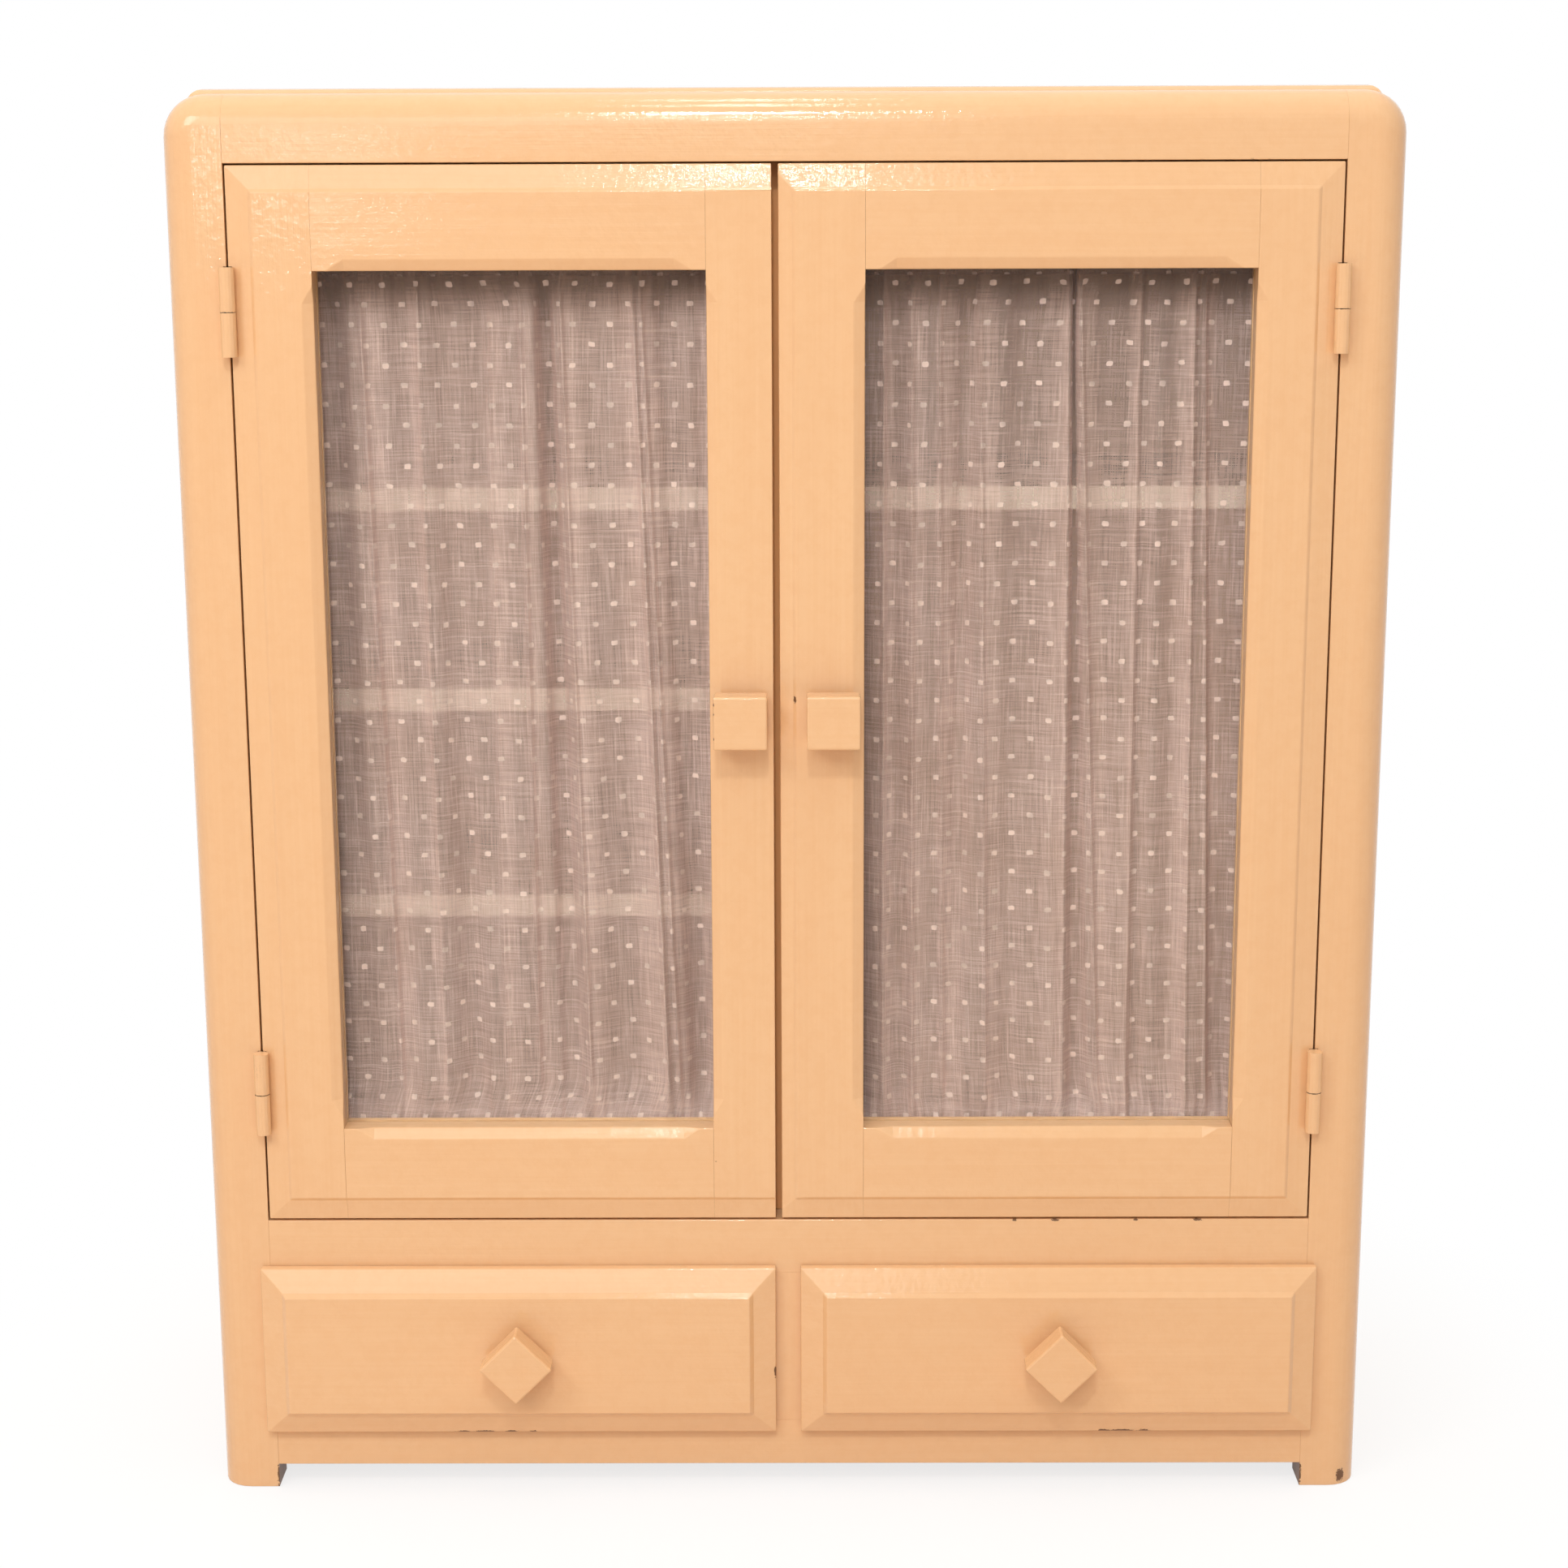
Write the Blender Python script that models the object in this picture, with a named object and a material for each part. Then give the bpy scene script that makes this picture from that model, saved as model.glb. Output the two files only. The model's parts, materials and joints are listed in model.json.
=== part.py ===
"""Painted two-door glazed cabinet with curtains and two drawers, built piece by piece.

Metres, +Z up, front towards -Y. The origin is on the floor, at the middle of the outer box.
Depths run backwards from the front plane of the face frame. Side is -1 on the left, +1 on the right.
"""

import math

import bmesh
import bpy
from mathutils import Matrix, Vector

# Clearances
FIT = 0.0003
OVERCUT = 0.002

# Case
CASE_WIDTH = 0.700
CASE_DEPTH = 0.260

# Face frame, from the floor up
FOOT_HEIGHT = 0.015
BOTTOM_RAIL_HEIGHT = 0.029
DRAWER_OPENING_HEIGHT = 0.096
MIDDLE_RAIL_HEIGHT = 0.0337
DOOR_OPENING_HEIGHT = 0.6248
TOP_RAIL_HEIGHT = 0.0385
FRAME_THICKNESS = 0.024
POST_WIDTH = 0.0355
MUNTIN_WIDTH = 0.025
FRAME_EDGE_RADIUS = 0.018
FRAME_EDGE_LAND = 0.003
FRAME_CORNER_FLAT_RADIUS = 0.006
FRAME_EDGE_STEPS = 6
FRAME_CORNER_STEPS = 8

# Joints of the face frame
TENON_INSET = 0.005
TENON_THICKNESS = 0.008
TENON_LENGTH = 0.018
TENON_SHOULDER = 0.007
TOP_TENON_SHOULDER = 0.013
MUNTIN_TENON_LENGTH = 0.010
MUNTIN_TENON_SHOULDER = 0.005

# Boards of the case
GUIDE_THICKNESS = 0.0075
GUIDE_HEIGHT = 0.020
SIDE_THICKNESS = 0.016
SIDE_TONGUE_THICKNESS = 0.006
SIDE_TONGUE_DEPTH = 0.004
TOP_THICKNESS = 0.018
TOP_RISE = 0.003
TOP_EDGE_RADIUS = 0.008
TOP_EDGE_STEPS = 4
BACK_THICKNESS = 0.005
BACK_REBATE = 0.008
FLOOR_THICKNESS = 0.014
FLOOR_DROP = 0.0017
BOTTOM_THICKNESS = 0.012
PARTITION_THICKNESS = 0.016
DIVIDER_THICKNESS = 0.018
SHELF_THICKNESS = 0.014
SHELF_SETBACK = 0.048
HOUSING_DEPTH = 0.004
LEFT_SHELF_HEIGHTS = {"upper": 0.440, "middle": 0.320, "lower": 0.193}
RIGHT_SHELF_HEIGHT = 0.440

# Doors
DOOR_SIDE_GAP = 0.0015
DOOR_END_GAP = 0.0015
DOOR_STOP_GAP = 0.0005
MEETING_GAP = 0.0037
MEETING_CENTRE_X = -0.0055
DOOR_EDGE_THICKNESS = 0.018
DOOR_BEVEL_WIDTH = 0.0125
DOOR_BEVEL_RISE = 0.0026
DOOR_STEP_WIDTH = 0.0018
DOOR_STEP_RISE = 0.0014
LEFT_MEETING_TRIM = 0.018
RIGHT_MEETING_TRIM = 0.0048
HINGE_STILE_WIDTH = 0.047
LEFT_MEETING_STILE_WIDTH = 0.037
RIGHT_MEETING_STILE_WIDTH = 0.049
DOOR_RAIL_HEIGHT = 0.058
DOOR_TENON_INSET = 0.002
DOOR_TENON_THICKNESS = 0.006
DOOR_TENON_LENGTH = 0.020
DOOR_TENON_SHOULDER = 0.011
CHAMFER_WIDTH = 0.0065
CHAMFER_DEPTH = 0.003
CHAMFER_STOP = 0.006
CHAMFER_RUNOUT = 0.012
GLASS_SETBACK = 0.0095
GLASS_THICKNESS = 0.003
GLASS_REBATE = 0.008

# Curtains and their rods
ROD_RADIUS = 0.0025
ROD_SIDES = 10
ROD_STANDOFF = 0.009
ROD_OVERREACH = 0.018
ROD_ABOVE_WINDOW = 0.006
ROD_SEAT_DEPTH = 0.006
CURTAIN_OVERREACH = 0.011
CURTAIN_THICKNESS = 0.0012
CURTAIN_EASE = 0.0005
CASING_DROP = 0.010
FOLD_COUNT = 9
FOLD_STEPS = 4
FOLD_DEPTH = 0.0035
FOLD_WANDER = 0.0012
WEB_STEPS = 4

# Hinges
HINGE_HEIGHT = 0.050
HINGE_FROM_DOOR_END = 0.0805
BARREL_RADIUS = 0.0045
BARREL_STANDOFF = 0.0006
BARREL_SIDES = 16
LEAF_THICKNESS = 0.0015
LEAF_WIDTH = 0.016
PIN_RADIUS = 0.0022
PIN_LENGTH = 0.020

# Knobs
KNOB_SIZE = 0.031
KNOB_THICKNESS = 0.0165
KNOB_EDGE = 0.0012
KNOB_NECK_RADIUS = 0.009
KNOB_NECK_LENGTH = 0.005
KNOB_DOWEL_RADIUS = 0.004
KNOB_DOWEL_LENGTH = 0.011
KNOB_SIDES = 20
DOOR_KNOB_HEIGHT = 0.3083
DOOR_KNOB_INSET = 0.018

# Drawers
DRAWER_LAP = 0.005
DRAWER_LIP = 0.006
DRAWER_BEVEL_WIDTH = 0.0135
DRAWER_BEVEL_RISE = 0.0055
DRAWER_STEP_WIDTH = 0.0025
DRAWER_STEP_RISE = 0.003
DRAWER_CORE_THICKNESS = 0.012
DRAWER_SIDE_THICKNESS = 0.010
DRAWER_SIDE_GAP = 0.001
DRAWER_HEAD_GAP = 0.006
DRAWER_REAR_GAP = 0.030
DRAWER_BACK_THICKNESS = 0.008
DRAWER_BACK_DROP = 0.006
DRAWER_BOTTOM_THICKNESS = 0.004
DRAWER_BOTTOM_HEIGHT = 0.008
DRAWER_GROOVE = 0.005

# Heights that follow
BOTTOM_RAIL_Z = FOOT_HEIGHT
DRAWER_Z = BOTTOM_RAIL_Z + BOTTOM_RAIL_HEIGHT
MIDDLE_RAIL_Z = DRAWER_Z + DRAWER_OPENING_HEIGHT
DOOR_Z = MIDDLE_RAIL_Z + MIDDLE_RAIL_HEIGHT
TOP_RAIL_Z = DOOR_Z + DOOR_OPENING_HEIGHT
FRAME_TOP = TOP_RAIL_Z + TOP_RAIL_HEIGHT
TOP_Z = FRAME_TOP + TOP_RISE
TOP_UNDERSIDE = TOP_Z - TOP_THICKNESS
FLOOR_TOP = DOOR_Z - FLOOR_DROP
FLOOR_UNDERSIDE = FLOOR_TOP - FLOOR_THICKNESS

# Widths that follow
OPENING_X = CASE_WIDTH / 2 - POST_WIDTH
SIDE_INNER = OPENING_X + GUIDE_THICKNESS
SIDE_OUTER = SIDE_INNER + SIDE_THICKNESS
BOARD_END = SIDE_INNER + HOUSING_DEPTH
DOOR_EDGE_X = OPENING_X - DOOR_SIDE_GAP
HINGE_X = OPENING_X - DOOR_SIDE_GAP / 2

# Depths that follow
DOOR_FIELD = -(DOOR_BEVEL_RISE + DOOR_STEP_RISE)
DRAWER_FIELD = -(DRAWER_LIP + DRAWER_BEVEL_RISE + DRAWER_STEP_RISE)
KNOB_REACH = max(-DOOR_FIELD, -DRAWER_FIELD) + KNOB_NECK_LENGTH + KNOB_THICKNESS
FRONT_Y = (KNOB_REACH - CASE_DEPTH) / 2
BOARD_FRONT = FRAME_THICKNESS + FIT
BOARD_BACK = CASE_DEPTH - BACK_THICKNESS - FIT
HINGE_DEPTH = -(BARREL_RADIUS + BARREL_STANDOFF)
ROD_DEPTH = DOOR_EDGE_THICKNESS + ROD_STANDOFF
DRAWER_LENGTH = BOARD_BACK - DRAWER_REAR_GAP

SIDE_NAMES = {-1: "left", 1: "right"}


# Finishes

def finish(name, colour, roughness, metallic=0.0, transmission=0.0, alpha=1.0):
    """A plain Principled material."""
    material = bpy.data.materials.new(name)
    material.use_nodes = True
    shader = material.node_tree.nodes["Principled BSDF"]
    shader.inputs["Base Color"].default_value = (*colour, 1.0)
    shader.inputs["Roughness"].default_value = roughness
    shader.inputs["Metallic"].default_value = metallic
    shader.inputs["Transmission Weight"].default_value = transmission
    shader.inputs["Alpha"].default_value = alpha
    return material


def make_finishes():
    """Every finish of the cabinet, by name."""
    return {
        "paint": finish("peach_gloss_paint", (0.86, 0.53, 0.30), 0.25),
        "inside": finish("inside_cream_paint", (0.78, 0.66, 0.54), 0.45),
        "raw_wood": finish("raw_drawer_wood", (0.52, 0.34, 0.18), 0.60),
        "plywood": finish("back_plywood", (0.47, 0.31, 0.17), 0.70),
        "hinge": finish("painted_hinge_steel", (0.86, 0.53, 0.30), 0.30),
        "glass": finish("window_glass", (0.95, 0.97, 0.96), 0.03, 0.0, 0.9, 0.35),
        "curtain": finish("sheer_dotted_cotton", (0.72, 0.64, 0.58), 0.85),
        "rod": finish("curtain_rod_brass", (0.60, 0.45, 0.20), 0.35, 1.0),
    }


# Solids

def solid(name, bm):
    """A new object from a finished bmesh, with its faces pointing out."""
    bmesh.ops.recalc_face_normals(bm, faces=bm.faces)
    mesh = bpy.data.meshes.new(name)
    bm.to_mesh(mesh)
    bm.free()
    piece = bpy.data.objects.new(name, mesh)
    bpy.context.scene.collection.objects.link(piece)
    return piece


def box(name, x, depth, z):
    """A rectangular solid from three pairs of limits."""
    low = Vector((min(x), FRONT_Y + min(depth), min(z)))
    high = Vector((max(x), FRONT_Y + max(depth), max(z)))
    bm = bmesh.new()
    bmesh.ops.create_cube(bm, size=1.0)
    bmesh.ops.scale(bm, vec=high - low, verts=bm.verts)
    bmesh.ops.translate(bm, vec=(low + high) / 2, verts=bm.verts)
    return solid(name, bm)


def cylinder(name, start, end, radius, sides):
    """A round bar between two (x, depth, z) points."""
    first = Vector((start[0], FRONT_Y + start[1], start[2]))
    last = Vector((end[0], FRONT_Y + end[1], end[2]))
    along = last - first
    turn = along.to_track_quat("Z", "Y").to_matrix().to_4x4()
    bm = bmesh.new()
    bmesh.ops.create_cone(bm, cap_ends=True, segments=sides, radius1=radius, radius2=radius,
                          depth=along.length, matrix=Matrix.Translation((first + last) / 2) @ turn)
    return solid(name, bm)


def loft(name, loops):
    """A solid skinned over closed loops of (x, depth, z) points, with both ends capped."""
    bm = bmesh.new()
    rings = [[bm.verts.new((x, FRONT_Y + depth, z)) for x, depth, z in loop] for loop in loops]
    count = len(rings[0])
    for ring, following in zip(rings, rings[1:]):
        for i in range(count):
            j = (i + 1) % count
            bm.faces.new((ring[i], ring[j], following[j], following[i]))
    bm.faces.new(rings[0])
    bm.faces.new(rings[-1])
    return solid(name, bm)


def combine(piece, tool, operation):
    """Shape a piece with a tool solid, and discard the tool."""
    modifier = piece.modifiers.new(name=operation, type="BOOLEAN")
    modifier.operation = operation
    modifier.object = tool
    depsgraph = bpy.context.evaluated_depsgraph_get()
    shaped = bpy.data.meshes.new_from_object(piece.evaluated_get(depsgraph))
    shaped.name = piece.name
    piece.modifiers.remove(modifier)
    piece.data = shaped
    bpy.data.objects.remove(tool)


def cut(piece, x, depth, z):
    """Take a rectangular cut out of a piece."""
    combine(piece, box("cutter", x, depth, z), "DIFFERENCE")


def drill(piece, start, end, radius, sides):
    """Drill a round hole in a piece."""
    combine(piece, cylinder("drill", start, end, radius, sides), "DIFFERENCE")


def add_box(piece, x, depth, z):
    """Grow a piece by a rectangular part, such as a tenon."""
    combine(piece, box("added", x, depth, z), "UNION")


def place(piece, material, parent, smooth_angle=None):
    """Centre a finished piece on its own origin, colour it and hang it on its parent."""
    mesh = piece.data
    corners = [Vector(corner) for corner in piece.bound_box]
    centre = (corners[0] + corners[6]) / 2
    mesh.transform(Matrix.Translation(-centre))
    piece.location = centre
    piece.parent = parent
    piece.matrix_parent_inverse = Matrix.Translation(-parent.location)
    mesh.materials.clear()
    mesh.materials.append(material)
    if smooth_angle is not None:
        mesh.shade_smooth()
        mesh.set_sharp_from_angle(angle=smooth_angle)


def pivot(name, x, depth, z, parent=None):
    """An empty on a joint's axis, which carries the pieces that move with it."""
    empty = bpy.data.objects.new(name, None)
    empty.empty_display_size = HINGE_HEIGHT
    empty.location = (x, FRONT_Y + depth, z)
    empty.parent = parent
    bpy.context.scene.collection.objects.link(empty)
    return empty


def both(limits):
    """A pair of limits that are the same distance on both sides of the middle."""
    return (-limits, limits)


def widened(limits, margin):
    """A pair of limits, moved apart by a margin."""
    return (min(limits) - margin, max(limits) + margin)


# Face frame

def frame_blank():
    """The whole front of the case as one rounded slab, from which posts and top rail are taken."""
    edge = min(FRAME_EDGE_RADIUS, FRAME_THICKNESS - FRAME_EDGE_LAND)
    corner = edge + FRAME_CORNER_FLAT_RADIUS
    arc_x = CASE_WIDTH / 2 - corner
    arc_z = FRAME_TOP - corner

    def outline(inset, depth):
        points = [(CASE_WIDTH / 2 - inset, depth, 0.0)]
        for side, first_turn in ((1, 0.0), (-1, math.pi / 2)):
            for step in range(FRAME_CORNER_STEPS + 1):
                turn = first_turn + math.pi / 2 * step / FRAME_CORNER_STEPS
                reach = corner - inset
                points.append((side * arc_x + reach * math.cos(turn), depth, arc_z + reach * math.sin(turn)))
        points.append((inset - CASE_WIDTH / 2, depth, 0.0))
        return points

    turns = [math.pi / 2 * step / FRAME_EDGE_STEPS for step in range(FRAME_EDGE_STEPS + 1)]
    loops = [outline(edge * (1 - math.sin(turn)), edge * (1 - math.cos(turn))) for turn in turns]
    loops.append(outline(0.0, FRAME_THICKNESS))
    return loft("frame_blank", loops)


def tenon_depths(clearance=0.0):
    """Front and back of a face-frame tenon, or of its mortise."""
    return widened((TENON_INSET, TENON_INSET + TENON_THICKNESS), clearance)


def rail_tenon_heights():
    """Bottom and top of each rail's tenon, by rail."""
    return {
        "bottom_rail": (BOTTOM_RAIL_Z + TENON_SHOULDER, DRAWER_Z - TENON_SHOULDER),
        "middle_rail": (MIDDLE_RAIL_Z + TENON_SHOULDER, DOOR_Z - TENON_SHOULDER),
        "top_rail": (TOP_RAIL_Z + TENON_SHOULDER, FRAME_TOP - TOP_TENON_SHOULDER),
    }


def hinge_heights():
    """Middle height of each hinge, by name."""
    return {
        "upper": TOP_RAIL_Z - DOOR_END_GAP - HINGE_FROM_DOOR_END,
        "lower": DOOR_Z + DOOR_END_GAP + HINGE_FROM_DOOR_END,
    }


def cut_leaf_recess(piece, inner_x, outer_x):
    """Let the hinge leaves of one edge into a post or a stile."""
    for middle in hinge_heights().values():
        cut(piece, (inner_x, outer_x), (-OVERCUT, LEAF_WIDTH + FIT),
            widened((middle - HINGE_HEIGHT / 2, middle + HINGE_HEIGHT / 2), FIT))


def make_post(side, finishes, case):
    """A full-height post, mortised for the rails and grooved for the side panel."""
    post = box(SIDE_NAMES[side] + "_front_post", (side * OPENING_X, side * CASE_WIDTH),
               (-OVERCUT, CASE_DEPTH), (-OVERCUT, TOP_Z))
    combine(post, frame_blank(), "INTERSECT")
    for heights in rail_tenon_heights().values():
        cut(post, (side * (OPENING_X - OVERCUT), side * (OPENING_X + TENON_LENGTH + FIT)),
            tenon_depths(FIT), widened(heights, FIT))
    tongue = side_tongue()
    cut(post, (side * (tongue[0] - FIT), side * (tongue[1] + FIT)),
        (FRAME_THICKNESS - SIDE_TONGUE_DEPTH - FIT, FRAME_THICKNESS + OVERCUT),
        (-OVERCUT, TOP_UNDERSIDE + FIT))
    cut_leaf_recess(post, side * (OPENING_X - OVERCUT), side * (OPENING_X + LEAF_THICKNESS + FIT))
    place(post, finishes["paint"], case, math.radians(30))


def make_rails(finishes, case):
    """The three rails between the posts."""
    heights = {
        "bottom_rail": (BOTTOM_RAIL_Z, DRAWER_Z),
        "middle_rail": (MIDDLE_RAIL_Z, DOOR_Z),
        "top_rail": (TOP_RAIL_Z, TOP_Z),
    }
    muntin_tenon = both(MUNTIN_WIDTH / 2 - MUNTIN_TENON_SHOULDER + FIT)
    for name, tenon_z in rail_tenon_heights().items():
        if name == "top_rail":
            rail = box(name, both(OPENING_X - FIT), (-OVERCUT, CASE_DEPTH), heights[name])
            combine(rail, frame_blank(), "INTERSECT")
        else:
            rail = box(name, both(OPENING_X - FIT), (0.0, FRAME_THICKNESS), heights[name])
        add_box(rail, both(OPENING_X + TENON_LENGTH), tenon_depths(), tenon_z)
        if name == "bottom_rail":
            cut(rail, muntin_tenon, tenon_depths(FIT),
                (DRAWER_Z - MUNTIN_TENON_LENGTH - FIT, DRAWER_Z + OVERCUT))
        if name == "middle_rail":
            cut(rail, muntin_tenon, tenon_depths(FIT),
                (MIDDLE_RAIL_Z - OVERCUT, MIDDLE_RAIL_Z + MUNTIN_TENON_LENGTH + FIT))
        place(rail, finishes["paint"], case, math.radians(30))


def make_muntin(finishes, case):
    """The short upright between the drawers, tenoned into both rails."""
    muntin = box("drawer_muntin", both(MUNTIN_WIDTH / 2), (0.0, FRAME_THICKNESS),
                 (DRAWER_Z + FIT, MIDDLE_RAIL_Z - FIT))
    add_box(muntin, both(MUNTIN_WIDTH / 2 - MUNTIN_TENON_SHOULDER), tenon_depths(),
            widened((DRAWER_Z, MIDDLE_RAIL_Z), MUNTIN_TENON_LENGTH))
    place(muntin, finishes["paint"], case)


# Boards of the case

def side_tongue():
    """Inner and outer face of the tongue that joins a side panel to its post."""
    middle = (SIDE_INNER + SIDE_OUTER) / 2
    return (middle - SIDE_TONGUE_THICKNESS / 2, middle + SIDE_TONGUE_THICKNESS / 2)


def shelf_tops(side):
    """Height of each shelf's top on one side, by its place."""
    if side < 0:
        return {place_name: FLOOR_TOP + height for place_name, height in LEFT_SHELF_HEIGHTS.items()}
    return {"": FLOOR_TOP + RIGHT_SHELF_HEIGHT}


def partition_face(side):
    """X of the partition's face on one side."""
    return MEETING_CENTRE_X + side * PARTITION_THICKNESS / 2


def make_side_panel(side, finishes, case):
    """A case side, tongued to its post, rebated for the back and housed for the boards."""
    panel = box(SIDE_NAMES[side] + "_side_panel", (side * SIDE_INNER, side * SIDE_OUTER),
                (BOARD_FRONT, CASE_DEPTH), (0.0, TOP_UNDERSIDE - FIT))
    tongue = side_tongue()
    add_box(panel, (side * tongue[0], side * tongue[1]),
            (FRAME_THICKNESS - SIDE_TONGUE_DEPTH, BOARD_FRONT + OVERCUT), (0.0, TOP_UNDERSIDE - FIT))
    cut(panel, (side * (SIDE_INNER - OVERCUT), side * (SIDE_INNER + BACK_REBATE)),
        (BOARD_BACK, CASE_DEPTH + OVERCUT), (-OVERCUT, TOP_Z))
    housing = (side * (SIDE_INNER - OVERCUT), side * (BOARD_END + FIT))
    cut(panel, housing, (0.0, CASE_DEPTH), widened((DRAWER_Z - BOTTOM_THICKNESS, DRAWER_Z), FIT))
    cut(panel, housing, (0.0, CASE_DEPTH), widened((FLOOR_UNDERSIDE, FLOOR_TOP), FIT))
    for top in shelf_tops(side).values():
        cut(panel, housing, (SHELF_SETBACK - FIT, CASE_DEPTH), widened((top - SHELF_THICKNESS, top), FIT))
    place(panel, finishes["paint"], case)


def make_top_board(finishes, case):
    """The top of the case, behind the top rail, with rounded front and end edges."""
    top = box("top_board", both(SIDE_OUTER), (BOARD_FRONT, CASE_DEPTH), (TOP_UNDERSIDE, TOP_Z))
    bm = bmesh.new()
    bm.from_mesh(top.data)
    radius = min(TOP_EDGE_RADIUS, TOP_THICKNESS - BACK_REBATE - FIT)
    back_y = FRONT_Y + CASE_DEPTH - OVERCUT
    rounded = [edge for edge in bm.edges
               if all(vert.co.z > TOP_Z - OVERCUT for vert in edge.verts)
               and any(vert.co.y < back_y for vert in edge.verts)]
    bmesh.ops.bevel(bm, geom=rounded, offset=radius, segments=TOP_EDGE_STEPS, profile=0.5, affect="EDGES")
    bm.to_mesh(top.data)
    bm.free()
    cut(top, both(SIDE_INNER + BACK_REBATE), (BOARD_BACK, CASE_DEPTH + OVERCUT),
        (TOP_UNDERSIDE - OVERCUT, TOP_UNDERSIDE + BACK_REBATE))
    cut(top, widened((partition_face(-1), partition_face(1)), FIT), (0.0, CASE_DEPTH),
        (TOP_UNDERSIDE - OVERCUT, TOP_UNDERSIDE + HOUSING_DEPTH))
    place(top, finishes["paint"], case, math.radians(30))


def make_back(finishes, case):
    """The thin back, let into the sides and the top."""
    back = box("back_panel", both(SIDE_INNER + BACK_REBATE - FIT), (CASE_DEPTH - BACK_THICKNESS, CASE_DEPTH),
               (BOTTOM_RAIL_Z, TOP_UNDERSIDE + BACK_REBATE - FIT))
    place(back, finishes["plywood"], case)


def make_floors(finishes, case):
    """The cupboard floor and the board that the drawers slide on."""
    floor = box("cupboard_floor", both(BOARD_END), (BOARD_FRONT, BOARD_BACK), (FLOOR_UNDERSIDE, FLOOR_TOP))
    cut(floor, widened((partition_face(-1), partition_face(1)), FIT), (0.0, CASE_DEPTH),
        (FLOOR_TOP - HOUSING_DEPTH, FLOOR_TOP + OVERCUT))
    divider = both(DIVIDER_THICKNESS / 2 + FIT)
    cut(floor, divider, (0.0, CASE_DEPTH), (FLOOR_UNDERSIDE - OVERCUT, FLOOR_UNDERSIDE + HOUSING_DEPTH))
    place(floor, finishes["inside"], case)
    bottom = box("bottom_board", both(BOARD_END), (BOARD_FRONT, BOARD_BACK),
                 (DRAWER_Z - BOTTOM_THICKNESS, DRAWER_Z))
    cut(bottom, divider, (0.0, CASE_DEPTH), (DRAWER_Z - HOUSING_DEPTH, DRAWER_Z + OVERCUT))
    place(bottom, finishes["raw_wood"], case)


def make_uprights(finishes, case):
    """The centre partition, which stops the doors, and the divider between the drawers."""
    faces = (partition_face(-1), partition_face(1))
    stop = DOOR_EDGE_THICKNESS + DOOR_STOP_GAP
    front = max(BOARD_FRONT, stop)
    partition = box("centre_partition", faces, (front, BOARD_BACK),
                    (FLOOR_TOP - HOUSING_DEPTH + FIT, TOP_UNDERSIDE + HOUSING_DEPTH - FIT))
    add_box(partition, faces, (stop, front + OVERCUT), (DOOR_Z + FIT, TOP_RAIL_Z - FIT))
    for side in SIDE_NAMES:
        face = partition_face(side)
        for top in shelf_tops(side).values():
            cut(partition, (face + side * OVERCUT, face - side * (HOUSING_DEPTH + FIT)),
                (SHELF_SETBACK - FIT, CASE_DEPTH), widened((top - SHELF_THICKNESS, top), FIT))
    place(partition, finishes["inside"], case)
    divider = box("drawer_divider", both(DIVIDER_THICKNESS / 2), (BOARD_FRONT, BOARD_BACK),
                  (DRAWER_Z - HOUSING_DEPTH + FIT, FLOOR_UNDERSIDE + HOUSING_DEPTH - FIT))
    place(divider, finishes["raw_wood"], case)


def make_shelves(side, finishes, case):
    """The shelves of one compartment, housed in the side panel and the partition."""
    ends = (side * BOARD_END, partition_face(side) - side * HOUSING_DEPTH)
    for place_name, top in shelf_tops(side).items():
        words = [SIDE_NAMES[side], place_name, "shelf"]
        shelf = box("_".join(word for word in words if word), ends, (SHELF_SETBACK, BOARD_BACK),
                    (top - SHELF_THICKNESS, top))
        place(shelf, finishes["inside"], case)


def make_guide(side, finishes, case):
    """The strip beside a drawer that fills the space up to the side panel."""
    guide = box(SIDE_NAMES[side] + "_drawer_guide", (side * (OPENING_X + FIT), side * (SIDE_INNER - FIT)),
                (BOARD_FRONT, BOARD_BACK), (DRAWER_Z + FIT, DRAWER_Z + GUIDE_HEIGHT))
    place(guide, finishes["raw_wood"], case)


# Hinges

def make_hinge_leaf(name, side, middle, on_door, material, parent):
    """Half of a lift-off hinge: the post's half carries the pin, the door's half drops over it."""
    if on_door:
        knuckle = (middle + FIT / 2, middle + HINGE_HEIGHT / 2)
        faces = (side * DOOR_EDGE_X, side * (DOOR_EDGE_X - LEAF_THICKNESS))
    else:
        knuckle = (middle - HINGE_HEIGHT / 2, middle - FIT / 2)
        faces = (side * OPENING_X, side * (OPENING_X + LEAF_THICKNESS))
    axis = (side * HINGE_X, HINGE_DEPTH)
    leaf = cylinder(name, (*axis, knuckle[0]), (*axis, knuckle[1]), BARREL_RADIUS, BARREL_SIDES)
    add_box(leaf, faces, (HINGE_DEPTH, LEAF_WIDTH / 2), knuckle)
    add_box(leaf, faces, (0.0, LEAF_WIDTH), (middle - HINGE_HEIGHT / 2, middle + HINGE_HEIGHT / 2))
    if on_door:
        drill(leaf, (*axis, middle - OVERCUT), (*axis, middle + PIN_LENGTH + FIT), PIN_RADIUS + FIT, BARREL_SIDES)
    else:
        pin = cylinder("pin", (*axis, middle - PIN_LENGTH / 2), (*axis, middle + PIN_LENGTH),
                       PIN_RADIUS, BARREL_SIDES)
        combine(leaf, pin, "UNION")
    place(leaf, material, parent, math.radians(30))


# Knobs

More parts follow.
